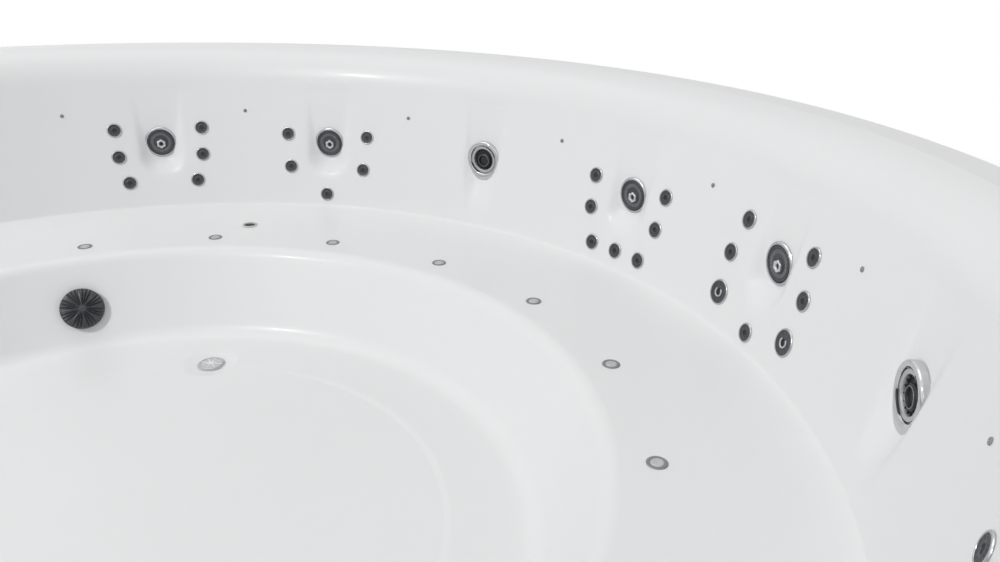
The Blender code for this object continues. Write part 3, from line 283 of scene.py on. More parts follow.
class Shop:
    """Turns finished bmeshes into pieces that ride on the frame."""

    @staticmethod
    def finish(build: bmesh.types.BMesh, name: str, dress: Finish | Sequence[Finish], slot: str,
               body: str = "tub", replaces: Iterable[str] = (), angle: float = 35.0) -> None:
        """Make a piece from a bmesh, dress it and tie it to the frame.

        Args:
            build: the piece's bmesh, which is freed.
            name: the piece's name.
            dress: its finish, or several in the order of its faces' material numbers.
            slot: the record's material slot; not used.
            body: the body that it rides on.
            replaces: the CAD nodes that it stands for.
            angle: the angle in degrees past which an edge stays sharp.
        """
        mesh = bpy.data.meshes.new(name)
        build.to_mesh(mesh)
        build.free()
        mesh.shade_smooth()
        mesh.set_sharp_from_angle(angle=math.radians(angle))
        piece = bpy.data.objects.new(name, mesh)
        bpy.context.scene.collection.objects.link(piece)
        for coat in ([dress] if isinstance(dress, Finish) else dress):
            mesh.materials.append(coat.material())
        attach(piece, body)
        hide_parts(*replaces)
        log.info("%s: %d faces on %s", name, len(mesh.polygons), body)

    @staticmethod
    def spun(profile: Sequence[Corner], steps: int = 48, place: Matrix | None = None,
             material: int = 0) -> bmesh.types.BMesh:
        """Return a turned solid.

        Args:
            profile: the corners of its section, from the axis at the top round to the axis at the
                bottom, or those of a closed loop away from the axis.
            steps: the steps of the full spin.
            place: where it goes.
            material: the number of its finish.

        Returns:
            The solid, with its normals outward.
        """
        build = bmesh.new()
        path = rounded(profile)
        corners = [build.verts.new((radius, 0.0, height)) for radius, height in path]
        edges = [build.edges.new(pair) for pair in zip(corners, corners[1:])]
        if path[0][0] > WELD:
            edges.append(build.edges.new((corners[-1], corners[0])))
        bmesh.ops.spin(build, geom=corners + edges, axis=(0, 0, 1), cent=(0, 0, 0),
                       angle=2 * math.pi, steps=steps, use_merge=True)
        Shop.close(build)
        return Shop.settle(build, place, material)

    @staticmethod
    def settle(build: bmesh.types.BMesh, place: Matrix | None, material: int) -> bmesh.types.BMesh:
        """Number a shape's faces by their finish and put it in its place.

        Args:
            build: the shape.
            place: where it goes, or None where it stays.
            material: the number of its finish.

        Returns:
            The same shape.
        """
        for face in build.faces:
            face.material_index = material
        return Shop.move(build, place) if place is not None else build

    @staticmethod
    def move(build: bmesh.types.BMesh, place: Matrix) -> bmesh.types.BMesh:
        """Put a shape in its place and return it."""
        bmesh.ops.transform(build, matrix=place, verts=build.verts)
        return build

    @staticmethod
    def close(build: bmesh.types.BMesh) -> None:
        """Merge a shape's doubles and point its faces outwards."""
        bmesh.ops.remove_doubles(build, verts=build.verts, dist=WELD)
        bmesh.ops.recalc_face_normals(build, faces=build.faces)

    @staticmethod
    def join(shapes: Iterable[bmesh.types.BMesh]) -> bmesh.types.BMesh:
        """Gather several shapes into one.

        Args:
            shapes: the shapes, which are freed.

        Returns:
            The shape that holds them all.
        """
        whole = bmesh.new()
        for shape in shapes:
            carrier = bpy.data.meshes.new("carrier")
            shape.to_mesh(carrier)
            shape.free()
            whole.from_mesh(carrier)
            bpy.data.meshes.remove(carrier)
        return whole

    @staticmethod
    def block(low: Sequence[float], high: Sequence[float], soft: float = 0.002,
              place: Matrix | None = None, material: int = 0) -> bmesh.types.BMesh:
        """Return a box with rounded edges.

        Args:
            low: its lowest corner.
            high: its highest corner.
            soft: its edges' radius.
            place: where it goes.
            material: the number of its finish.

        Returns:
            The box.
        """
        build = bmesh.new()
        start, end = Vector(low), Vector(high)
        matrix = Matrix.Translation((start + end) / 2) @ Matrix.Diagonal((*(end - start), 1))
        bmesh.ops.create_cube(build, size=1, matrix=matrix)
        bmesh.ops.bevel(build, geom=build.edges[:], offset=soft, segments=3, affect="EDGES",
                        profile=0.5, material=-1)
        return Shop.settle(build, place, material)

    @staticmethod
    def pipe(points: Sequence[Vector], radius: float, sides: int = 16, closed: bool = False,
             material: int = 0, radii: Callable[[int], float] | None = None) -> bmesh.types.BMesh:
        """Return a solid pipe along a path.

        Args:
            points: the path.
            radius: the pipe's radius.
            sides: its sides.
            closed: whether it runs round to its start.
            material: the number of its finish.
            radii: the radius at each point, where it isn't the same along the pipe.

        Returns:
            The pipe, capped at its ends.
        """
        build = bmesh.new()
        count = len(points)
        rings = []
        up = Vector((0, 0, 1))
        for number, point in enumerate(points):
            behind = points[number - 1] if number or closed else point
            ahead = points[(number + 1) % count] if number < count - 1 or closed else point
            along = (ahead - behind).normalized()
            side = along.cross(up)
            side = side.normalized() if side.length > 0.05 else Vector((1, 0, 0))
            across = Matrix((side, side.cross(along), along)).transposed().to_4x4()
            size = radii(number) if radii else radius
            ring = bmesh.ops.create_circle(build, segments=sides, radius=size,
                                           matrix=Matrix.Translation(point) @ across)["verts"]
            rings.append([build.edges.get((ring[k], ring[(k + 1) % sides])) for k in range(sides)])
        pairs = list(zip(rings, rings[1:])) + ([(rings[-1], rings[0])] if closed else [])
        for first, second in pairs:
            bmesh.ops.bridge_loops(build, edges=first + second)
        if not closed:
            bmesh.ops.holes_fill(build, edges=rings[0] + rings[-1], sides=sides)
        bmesh.ops.recalc_face_normals(build, faces=build.faces)
        return Shop.settle(build, None, material)


def rounded(corners: Sequence[Corner]) -> list[Point]:
    """Return a path with its corners rounded.

    Args:
        corners: each corner's radius from the axis and height, and its rounding and the steps of
            that, where it has them.

    Returns:
        The path's points.
    """
    path: list[Point] = []
    places = [Vector(corner[:2]) for corner in corners]
    for k, corner in enumerate(corners):
        if len(corner) == 2:
            path.append(corner)
            continue
        bend, steps = corner[2:]
        back = (places[k - 1] - places[k]).normalized()
        ahead = (places[(k + 1) % len(places)] - places[k]).normalized()
        half = back.angle(ahead) / 2
        centre = places[k] + (back + ahead).normalized() * (bend / math.sin(half))
        start = places[k] + back * (bend / math.tan(half)) - centre
        end = places[k] + ahead * (bend / math.tan(half)) - centre
        turn = start.angle_signed(end)
        for step in range(steps + 1):
            spoke = Matrix.Rotation(-turn * step / steps, 2) @ start
            path.append(tuple(centre + spoke))
    return path


def around(radius: float, angle: float, height: float = 0.0) -> Vector:
    """Return the point at a radius, an angle and a height."""
    return Vector((radius * math.cos(angle), radius * math.sin(angle), height))


def smooth(value: float) -> float:
    """Return a value eased from 0 to 1."""
    share = min(1.0, max(0.0, value))
    return share * share * (3 - 2 * share)


def wall_frame(sideways: float, drop: float) -> Matrix:
    """Return the frame on the wall at a jet: +Z into the tub, +X up the wall.

    Args:
        sideways: the distance along the wall from the position's centre.
        drop: the distance down from the lamps.

    Returns:
        The frame, for a position at angle 0.
    """
    radius = TUB.wall_radius(TUB.lamps - drop)
    place = Matrix.Rotation(sideways / radius, 4, "Z")
    place = place @ Matrix.Translation((radius, 0, TUB.lamps - drop))
    return place @ Matrix.Rotation(math.radians(-90) + math.atan(TUB.lean_share), 4, "Y")


def pocket_frame() -> Matrix:
    """Return the frame on a pocket's floor at its jet: +Z into the tub, +X up."""
    place = Matrix.Translation((TUB.pocket_radius, 0, TUB.lamps - TUB.large_drop))
    return place @ Matrix.Rotation(math.radians(-90), 4, "Y")


def riser_frame(angle: float, share: float = 0.44) -> Matrix:
    """Return the frame on the riser: +Z into the footwell, +X up the riser.

    Args:
        angle: its angle round the tub.
        share: its share of the riser's height.

    Returns:
        The frame.
    """
    run = TUB.nose - TUB.toe
    rise = TUB.seat - TUB.floor
    place = Matrix.Translation((TUB.toe + share * run, 0, TUB.floor + share * rise))
    tilt = Matrix.Rotation(math.radians(-90) + math.atan2(run, rise), 4, "Y")
    return Matrix.Rotation(angle, 4, "Z") @ place @ tilt


SUCTION_TURN = TUB.entry - math.radians(9.86)
DRAIN_TURN = TUB.entry - math.radians(35.3)
RETURN_TURN = TUB.entry - math.radians(35.7)
DRAIN_RADIUS = 0.760
RETURN_RADIUS = 1.312


@dataclass
class Moulding:
    """The smooth moulding, with its pockets, dishes and floor crease."""

    half_width: float = 0.0775
    swirl_half_width: float = 0.072
    pocket_bottom: float = 0.220
    swirl_bottom: float = 0.1525
    pocket_corner: float = 0.064
    draft: float = 0.9
    swirl_depth: float = 0.027
    swirl_ease: float = 0.32
    swirl_seat: float = 0.050
    tilt_height: float = 0.685
    tilt_share: float = 0.112
    soften: float = 0.009
    fillet_run: float = 0.120
    fillet_rise: float = 0.018
    crease_radius: float = 0.744
    crease_depth: float = 0.005
    crease_turn: float = math.radians(150)
    dish_radius: float = 0.070
    dish_depth: float = 0.0055
    across: list[float] = field(default_factory=lambda: [
        0.0, 0.020, 0.038, 0.052, 0.0590, 0.0635, 0.0675, 0.0710, 0.0745, 0.0780, 0.0815, 0.0850,
        0.0885, 0.0920, 0.0955, 0.0995, 0.1050, 0.120, 0.145, 0.175, 0.205, 0.240, 0.275])

    def profile(self) -> list[Point]:
        """Draw the section from the floor's centre over the rim and back beneath.

        Returns:
            The section's points.
        """
        lean = math.atan(TUB.lean_share)
        share = 0.36
        drop = ((TUB.lip_radius - TUB.lamp_radius) * share - (TUB.rim - TUB.lamps)) / (
            1 - TUB.lean_share * share)
        corner = TUB.lamps - drop
        belt = TUB.pocket_radius + TUB.skin
        run = TUB.nose - TUB.toe
        rise = TUB.seat - TUB.floor
        thin = TUB.skin * math.tan((math.pi / 2 - math.atan2(run, rise)) / 2)
        path = [(0.0, TUB.floor), (0.25, TUB.floor), (0.5, TUB.floor), (0.62, TUB.floor)]
        path += [(0.66 + 0.008 * k, TUB.floor) for k in range(25)]
        path += rounded([(0.70, TUB.floor), (TUB.toe, TUB.floor, TUB.toe_round, 8),
                         (TUB.nose, TUB.seat, TUB.nose_round, 12), (TUB.seat_back, TUB.seat)])[1:-1]
        path = self.divided(path, 0.02, start=TUB.toe)
        path += [(TUB.nose + 0.075 + 0.012 * k, TUB.seat) for k in range(20)]
        path += self.fillet()
        path += rounded([path[-1], (TUB.wall_radius(corner), corner, 0.150, 16),
                         (TUB.lip_radius, TUB.rim, 0.006, 4),
                         (TUB.lip_radius + 0.006, TUB.band, 0.004, 3),
                         (TUB.rim_radius, TUB.band + 0.002, 0.008, 5),
                         (TUB.rim_radius, TUB.rim - 0.060, 0.003, 2),
                         (TUB.rim_radius - TUB.skin, TUB.rim - 0.060, 0.003, 2),
                         (TUB.rim_radius - TUB.skin, TUB.band - TUB.skin, 0.006, 3),
                         (TUB.lip_radius + 0.006, TUB.band - TUB.skin)])[1:]
        path = self.graded(path)
        path += [(TUB.wall_radius(corner) + 2 * TUB.skin, corner - TUB.skin),
                 (belt + 0.003, TUB.lamps),
                 (belt + 0.003, TUB.lamps - self.pocket_bottom - TUB.skin)]
        under = rounded([
            (TUB.wall_radius(TUB.seat) + TUB.skin / math.cos(lean), TUB.seat - TUB.skin),
            (TUB.nose + thin, TUB.seat - TUB.skin, TUB.nose_round - TUB.skin, 6),
            (TUB.toe + thin, TUB.floor - TUB.skin), (0.0, TUB.floor - TUB.skin)])
        return path + under

    def fillet(self) -> list[Point]:
        """Draw the soft bend from the seat up into the wall, tighter towards the wall.

        Returns:
            The bend's points.
        """
        start = Vector((TUB.seat_back - self.fillet_run, TUB.seat))
        bend = Vector((TUB.seat_back, TUB.seat))
        end = Vector((TUB.wall_radius(TUB.seat + self.fillet_rise), TUB.seat + self.fillet_rise))
        shares = [k / 16 for k in range(17)]
        return [tuple(start * (1 - share) ** 2 + bend * (2 * share * (1 - share))
                      + end * share ** 2) for share in shares]

    @staticmethod
    def divided(path: list[Point], step: float, start: float) -> list[Point]:
        """Divide the long sloping runs of a path.

        Args:
            path: the path.
            step: the longest piece.
            start: the radius where the slopes start.

        Returns:
            The divided path.
        """
        made = [path[0]]
        for (r0, z0), (r1, z1) in zip(path, path[1:]):
            length = math.hypot(r1 - r0, z1 - z0)
            pieces = max(1, round(length / step)) if r0 >= start * 0.9 and z1 > z0 else 1
            made += [(r0 + (r1 - r0) * k / pieces, z0 + (z1 - z0) * k / pieces)
                     for k in range(1, pieces + 1)]
        return made

    @staticmethod
    def graded(path: list[Point]) -> list[Point]:
        """Divide a path's wall into rows, finest at the pockets' rounded ends.

        Args:
            path: the path.

        Returns:
            The divided path.
        """
        made = [path[0]]
        for (r0, z0), (r1, z1) in zip(path, path[1:]):
            if z1 - z0 < 0.2:
                made.append((r1, z1))
                continue
            height = z0
            while True:
                fine = 0.505 <= height < 0.605
                height += 0.0045 if fine else 0.006 if 0.680 <= height < 0.800 else 0.012
                if height > z1 - 0.006:
                    break
                made.append((r0 + (r1 - r0) * (height - z0) / (z1 - z0), height))
            made.append((r1, z1))
        return made

    def columns(self) -> list[float]:
        """Spread one position's columns.

        Returns:
            Their angles, counted from the position's centre.
        """
        half = TUB.pitch / 2
        right = [math.atan(distance / TUB.pocket_radius) for distance in self.across[1:]]
        return [-half] + [-angle for angle in reversed(right)] + [0.0] + right

    def build(self) -> None:
        """Make the moulding."""
        build = bmesh.new()
        path = self.profile()
        corners = [build.verts.new((radius, 0.0, height)) for radius, height in path]
        edges = [build.edges.new(pair) for pair in zip(corners, corners[1:])]
        columns = self.columns()
        steps = TUB.stations * len(columns)
        bmesh.ops.spin(build, geom=corners + edges, axis=(0, 0, 1), cent=(0, 0, 0),
                       angle=2 * math.pi, steps=steps, use_merge=True)
        for vertex in build.verts:
            self.shape(vertex, columns, steps)
        Shop.close(build)
        Shop.finish(build, "tub_moulding", ACRYLIC, "shell", replaces=["shell"], angle=50.0)

    def shape(self, vertex: bmesh.types.BMVert, columns: list[float], steps: int) -> None:
        """Move one vertex to its column, then into a pocket, dish or crease.

        Args:
            vertex: the vertex.
            columns: one position's columns.
            steps: the columns all the way round.
        """
        radius = vertex.co.xy.length
        height = vertex.co.z
        if radius < WELD:
            return
        spot = round(math.atan2(vertex.co.y, vertex.co.x) / (2 * math.pi) * steps) % steps
        number, column = divmod(spot, len(columns))
        angle = TUB.entry + number * TUB.pitch + columns[column]
        station = (TUB.stations - number) % TUB.stations
        on_wall = abs(radius - TUB.wall_radius(height)) < 0.0005 and TUB.seat + 0.03 < height < 0.82
        if on_wall and station:
            radius = self.pocketed(radius, height, columns[column], ORDER[station - 1])
        if radius < 1.55 and height > TUB.floor - 0.001:
            height = self.dished(radius, angle, height)
        vertex.co = around(radius, angle, height)

    def pocketed(self, radius: float, height: float, turn: float, kind: Position) -> float:
        """Return the wall's radius at a place, with the pocket there.

        Args:
            radius: the plain wall's radius.
            height: the place's height.
            turn: its angle from the position's centre.
            kind: the kind of position.

        Returns:
            The radius with the pocket.
        """
        swirl = kind is Position.SWIRL
        half = self.swirl_half_width if swirl else self.half_width
        bottom = TUB.lamps - (self.swirl_bottom if swirl else self.pocket_bottom)
        across = abs(TUB.pocket_radius * math.tan(turn)) - half + self.pocket_corner
        down = (bottom + self.pocket_corner - height) * (self.swirl_ease if swirl else 1.0)
        inside = self.pocket_corner - math.hypot(max(0.0, across), max(0.0, down))
        inside -= min(0.0, max(across, down))
        back = TUB.pocket_radius + self.tilt_share * max(0.0, height - self.tilt_height)
        depth = back / math.cos(turn) - radius
        if swirl:
            away = math.hypot(TUB.pocket_radius * math.tan(turn),
                              TUB.lamps - TUB.large_drop - height)
            share = smooth((away - self.swirl_seat) / 0.008)
            depth += share * (min(depth, self.swirl_depth) - depth)
        side = self.draft * inside
        depth = (depth + side - math.hypot(depth - side, self.soften)) / 2
        return radius + (depth + math.hypot(depth, self.soften)) / 2

    def dished(self, radius: float, angle: float, height: float) -> float:
        """Return a floor or seat height with its crease and the dishes round its fittings.

        Args:
            radius: the place's radius.
            angle: its angle.
            height: the plain floor's or seat's height.

        Returns:
            The height with the crease and dishes.
        """
        spot = around(radius, angle)
        if radius < TUB.toe and height < TUB.floor + 0.01:
            away = (spot - around(DRAIN_RADIUS, DRAIN_TURN)).length
            height -= self.dish_depth * smooth((self.dish_radius * 1.1 - away) / 0.016)
            side = (1 + math.cos(angle - self.crease_turn)) / 2
            fall = smooth((self.crease_radius - radius) / 0.008 + 0.5)
            height -= self.crease_depth * side * side * fall
        elif abs(height - TUB.seat) < 0.001:
            away = (spot - around(RETURN_RADIUS, RETURN_TURN)).length
            height -= 0.004 * smooth((0.046 - away) / 0.012)
        return height


@dataclass
class JetSet:
    """One position's jets, with the pipework behind them."""

    large_flange: float = 0.056
    large_height: float = 0.0062
    swirl_flange: float = 0.0640
    swirl_height: float = 0.0175
    swirl_groove: float = 0.0500
    lobe: float = 0.0220
    small_radius: float = 0.026
    medium_radius: float = 0.035
    hose: float = 0.014
    feed: float = 0.016
    shares: dict[Position, list[Point]] = field(default_factory=lambda: {
        Position.CURVED_BACK: [(-0.48, 0.17), (-0.465, 0.44), (-0.38, 0.705), (0.38, 0.705),
                               (0.465, 0.44), (0.48, 0.17)],
        Position.ARCHED_BACK: [(-0.485, 0.23), (-0.445, 0.565), (0.0, 0.84), (0.445, 0.565),
                               (0.485, 0.23)],
        Position.SWIRL: [],
        Position.FULL_BACK: [(-0.47, 0.225), (-0.44, 0.505), (-0.32, 0.805), (0.0, 0.805),
                             (0.32, 0.805), (0.44, 0.505), (0.47, 0.225)],
        Position.LUMBAR: [(-0.44, 0.12), (-0.515, 0.395), (0.0, 0.84), (0.515, 0.395),
                          (0.44, 0.12)],
    })
    medium_shares: list[Point] = field(default_factory=lambda: [(-0.485, 0.705), (0.485, 0.705)])

    def places(self, kind: Position) -> list[tuple[float, float, float]]:
        """Place the small jets of a kind of position.

        Args:
            kind: the kind of position.

        Returns:
            Each jet's distance sideways, its distance down from the lamps, and its radius.
        """
        half = TUB.lamp_radius * TUB.pitch / 2
        sizes = [(self.small_radius, self.shares[kind])]
        if kind is Position.LUMBAR:
            sizes.append((self.medium_radius, self.medium_shares))
        return [(across * half, down * TUB.wall_rise, radius)
                for radius, shares in sizes for across, down in shares]

    def large_ring(self) -> bmesh.types.BMesh:
        """Make a large jet's stainless ring, with the dark cup inside it.

        Returns:
            The ring, on the pocket of a position at angle 0.
        """
        flange, top = self.large_flange, self.large_height
        ring = Shop.spun([
            (flange, 0.0003), (flange, top * 0.45, 0.001, 2), (flange - 0.0035, top, 0.0015, 3),
            (flange - 0.0080, top - 0.0002, 0.0008, 2), (flange - 0.0090, 0.0020), (0.030, 0.0020),
            (0.030, 0.0003)], 64, pocket_frame())
        cup = Shop.spun([
            (flange - 0.0089, 0.0050), (flange - 0.0101, 0.0050), (flange - 0.0101, 0.0019),
            (flange - 0.0089, 0.0019)], 64, pocket_frame(), material=1)
        return Shop.join([ring, cup])

    def swirl_ring(self) -> bmesh.types.BMesh:
        """Make a swirl jet's chrome roll, which widens into a lobe below, with two black arcs in
        its groove that are painted shade and painted dark reflections.

        Returns:
            The roll, on the pocket of a position at angle 0.
        """
        flange, top, groove = self.swirl_flange, self.swirl_height, self.swirl_groove
        ring = Shop.spun([
            (flange, 0.0003), (flange, top, 0.0058, 8), (groove, top, 0.0050, 6), (groove, 0.0020),
            (0.030, 0.0020), (0.030, 0.0003)], 96)
        for vertex in ring.verts:
            reach = vertex.co.xy.length
            if reach < groove:
                continue
            pull = max(0.0, -vertex.co.x / reach) ** 3
            vertex.co.xy *= 1 + pull * self.lobe * (reach - groove) / (flange - groove) / reach
        # Two black arcs in the groove, at the top right and the bottom left: painted shade in the
        # groove and painted dark reflection streaks on the chrome, not real slots.
        painted_streaks = []
        for start in (-73, 107):
            arc = [around(groove - 0.0012, math.radians(start + 3.5 * k), 0.0150)
                   for k in range(17)]
            painted_streaks.append(Shop.pipe(arc, 0.0018, 8, material=1))
        return Shop.move(Shop.join([ring, *painted_streaks]), pocket_frame())

    def small_ring(self, radius: float, place: Matrix) -> list[bmesh.types.BMesh]:
        """Make a small jet's light ring, dark face and bore, and a medium jet's lip.

        Args:
            radius: the ring's radius.
            place: the jet's frame on the wall.

        Returns:
            The shapes.
        """
        ring = Shop.spun([
            (radius, 0.0003), (radius, 0.0014, 0.0008, 2), (radius - 0.0015, 0.0034, 0.0010, 2),
            (radius - 0.0045, 0.0036, 0.0006, 2), (radius - 0.0052, 0.0010),
            (radius - 0.0060, 0.0003)], 36, place)
        eye = radius * 0.27
        face = Shop.spun([
            (eye, 0.0006), (eye, 0.0016), (eye * 1.15, 0.0032, 0.0004, 2),
            (eye * 1.45, 0.0030, 0.0004, 2), (eye * 1.75, 0.0021, 0.0003, 2),
            (radius - 0.0085, 0.0023), (radius - 0.0053, 0.0031), (radius - 0.0053, 0.0006)],
            48, material=1)
        for vertex in face.verts:
            reach = vertex.co.xy.length
            if eye * 1.6 < reach < radius - 0.0056 and vertex.co.z > 0.0012:
                vertex.co.z -= 0.0005 * (1 + math.cos(12 * math.atan2(vertex.co.y, vertex.co.x)))
        Shop.move(face, place)
        bore = Shop.spun([
            (0.0, 0.0014), (eye * 1.02, 0.0014), (eye * 1.02, 0.0006), (0.0, 0.0006)],
            24, place, material=3)
        shapes = [ring, face, bore]
        if radius == self.medium_radius:
            lip = [around(eye * 1.20, math.radians(40 + 280 * k / 24), 0.0032) for k in range(25)]
            shapes.append(Shop.move(Shop.pipe(lip, 0.0020, 8, material=2), place))
        return shapes

    def hose_depth(self, drop: float) -> float:
        """Return the hose's distance behind the wall, clear of the belt's back."""
        belt = 0.015 + TUB.lean_share * drop
        return belt * math.cos(math.atan(TUB.lean_share)) + 0.025

    def pipework(self, kind: Position) -> bmesh.types.BMesh:
        """Make the body of the large jet, the hose round the small ones, and the feed pipe.

        Args:
            kind: the kind of position.

        Returns:
            The pipework of a position at angle 0.
        """
        neck = 0.044
        parts = [Shop.spun([
            (0.0, 0.0010), (neck, 0.0010), (neck, -0.012), (neck, -0.016), (neck - 0.003, -0.0165),
            (neck - 0.003, -0.060), (neck - 0.001, -0.0605), (neck - 0.001, -0.072, 0.003, 2),
            (0.0, -0.072)], 32, pocket_frame())]
        top = TUB.lamps - TUB.large_drop + 0.020
        low = TUB.ring_height + 0.0553
        parts.append(Shop.pipe([Vector((TUB.ring_radius, 0, height)) for height in (low, top)],
                               self.feed, 16))
        places = self.places(kind)
        places.sort(key=lambda spot: math.atan2(spot[0], spot[1] - TUB.large_drop - 0.020))
        tails = []
        for sideways, drop, radius in places:
            spot = wall_frame(sideways, drop)
            tail = spot @ Vector((0, 0, -self.hose_depth(drop)))
            tails.append(tail)
            stub = 0.0115 if radius == self.small_radius else 0.0120
            parts.append(Shop.pipe([tail, spot @ Vector((0, 0, -0.0105))], stub, 14))
        if tails:
            parts.append(Shop.pipe(tails, self.hose, 12, material=1))
            lowest = min(tails, key=lambda tail: (round(tail.z, 3), abs(tail.y)))
            height = max(lowest.z, TUB.ring_height + 0.087)
            parts.append(Shop.pipe([Vector((x, 0, height)) for x in (lowest.x, TUB.ring_radius)],
                                   self.hose, 12, material=1))
        return Shop.join(parts)

    def dark_face(self) -> bmesh.types.BMesh:
        """Make a large jet's turning face: ribs round a nozzle that sits off its centre.

        Returns:
            The face, with its axis along Z.
        """
        face = Shop.spun([
            (0.0, 0.0032), (0.022, 0.0034), (0.026, 0.0046), (0.0355, 0.0060), (0.0365, 0.0046),
            (0.0405, 0.0050), (0.0435, 0.0066, 0.001, 2), (0.0453, 0.0048, 0.001, 2),
            (0.0453, 0.0024), (0.0, 0.0024)], 144)
        for vertex in face.verts:
            reach = vertex.co.xy.length
            if 0.025 < reach < 0.041 and vertex.co.z > 0.0035:
                spoke = math.atan2(vertex.co.y, vertex.co.x) * 24
                vertex.co.z -= 0.0012 * (0.5 + 0.5 * math.cos(spoke))
        for side in face.faces:
            middle = side.calc_center_median()
            if 0.0255 < middle.xy.length < 0.0360 and middle.z > 0.0026:
                side.material_index = 3
        offset = Matrix.Translation((-0.006, 0, 0))
        collar = Shop.spun([
            (0.0205, 0.0030), (0.0205, 0.0046, 0.0006, 2), (0.0160, 0.0066, 0.0006, 2),
            (0.0150, 0.0030)], 48, offset)
        eye = Shop.spun([
            (0.0152, 0.0030), (0.0152, 0.0082, 0.0008, 2), (0.0138, 0.0093, 0.0006, 2),
            (0.0092, 0.0090, 0.0006, 2), (0.0070, 0.0050), (0.0070, 0.0030)], 48, material=1)
        for vertex in eye.verts:
            if vertex.co.xy.length > 0.012:
                vertex.co.xy *= 1 + 0.08 * math.cos(6 * math.atan2(vertex.co.y, vertex.co.x))
        Shop.move(eye, offset)
        plug = Shop.spun([
            (0.0, 0.0046), (0.0071, 0.0046), (0.0071, 0.0030), (0.0, 0.0030)],
            24, offset, material=2)
        return Shop.join([face, collar, eye, plug])

    def swirl_face(self) -> bmesh.types.BMesh:
        """Make a swirl jet's turning insert: satin front, black bore and nozzle.

        Returns:
            The insert, with its axis along Z.
        """
        seat = Shop.spun([
            (0.0470, 0.0024), (0.0470, 0.0130, 0.0006, 2), (0.0380, 0.0118, 0.0006, 2),
            (0.0366, 0.0030), (0.0366, 0.0024)], 96, material=2)
        bore = Shop.spun([
            (0.0, 0.0034), (0.0365, 0.0034), (0.0365, 0.0024), (0.0, 0.0024)], 64, material=1)
        ribs = [Shop.block((0.0300, -0.0014, 0.0030), (0.0370, 0.0014, 0.0085), 0.0006,
                           Matrix.Rotation(2 * math.pi * k / 16, 4, "Z"), material=1)
                for k in range(16)]
        offset = Matrix.Translation((-0.004, 0, 0))
        nozzle = Shop.spun([
            (0.0255, 0.0030), (0.0255, 0.0075, 0.002, 3), (0.0205, 0.0108, 0.001, 2),
            (0.0190, 0.0108), (0.0165, 0.0045), (0.0165, 0.0030)], 48, offset, material=1)
        mouth = Shop.spun([
            (0.0208, 0.0106), (0.0204, 0.0113, 0.0003, 2), (0.0195, 0.0113, 0.0003, 2),
            (0.0192, 0.0104)], 48, offset, material=3)
        throat = Shop.spun([
            (0.0, 0.0046), (0.0166, 0.0046), (0.0166, 0.0030), (0.0, 0.0030)],
            32, offset, material=1)
        return Shop.join([seat, bore, *ribs, nozzle, mouth, throat])

    def build(self) -> None:
        """Make every position's jets and pipework."""
        for number, kind in enumerate(ORDER, 1):
            swirl = kind is Position.SWIRL
            turn = Matrix.Rotation(TUB.turn(number), 4, "Z")
            node = f"jet_group_{number:02d}"
            pipes = Shop.move(self.pipework(kind), turn)
            Shop.finish(pipes, f"jet_pipework_{number:02d}", [PIPE, HOSE], "pipe", replaces=[node])
            ring = Shop.move(self.swirl_ring() if swirl else self.large_ring(), turn)
            # On a swirl ring the second finish colours only the painted shade and dark reflection
            # arcs in its groove.
            trim = [CHROME if swirl else STAINLESS, BLACK]
            Shop.finish(ring, f"jet_ring_{number:02d}", trim, "chrome" if swirl else "steel",
                        replaces=[node])
            if not swirl:
                shapes = []
                for sideways, drop, radius in self.places(kind):
                    shapes += self.small_ring(radius, wall_frame(sideways, drop))
                small = Shop.move(Shop.join(shapes), turn)
                Shop.finish(small, f"small_jets_{number:02d}", [STAINLESS, DARK, EYELET, BLACK],
                            "dark_plastic", replaces=[node])
            face = Shop.move(self.swirl_face() if swirl else self.dark_face(),
                             turn @ pocket_frame())
            coats = [CHROME, BLACK, SATIN, CAP_RIM] if swirl else [DARK, EYELET, BLACK, RIBBED]
            Shop.finish(face, f"jet_insert_{number:02d}", coats,
                        "chrome" if swirl else "dark_plastic",
                        body=f"jet_face_{number:02d}", replaces=[f"jet_face_{number:02d}"])


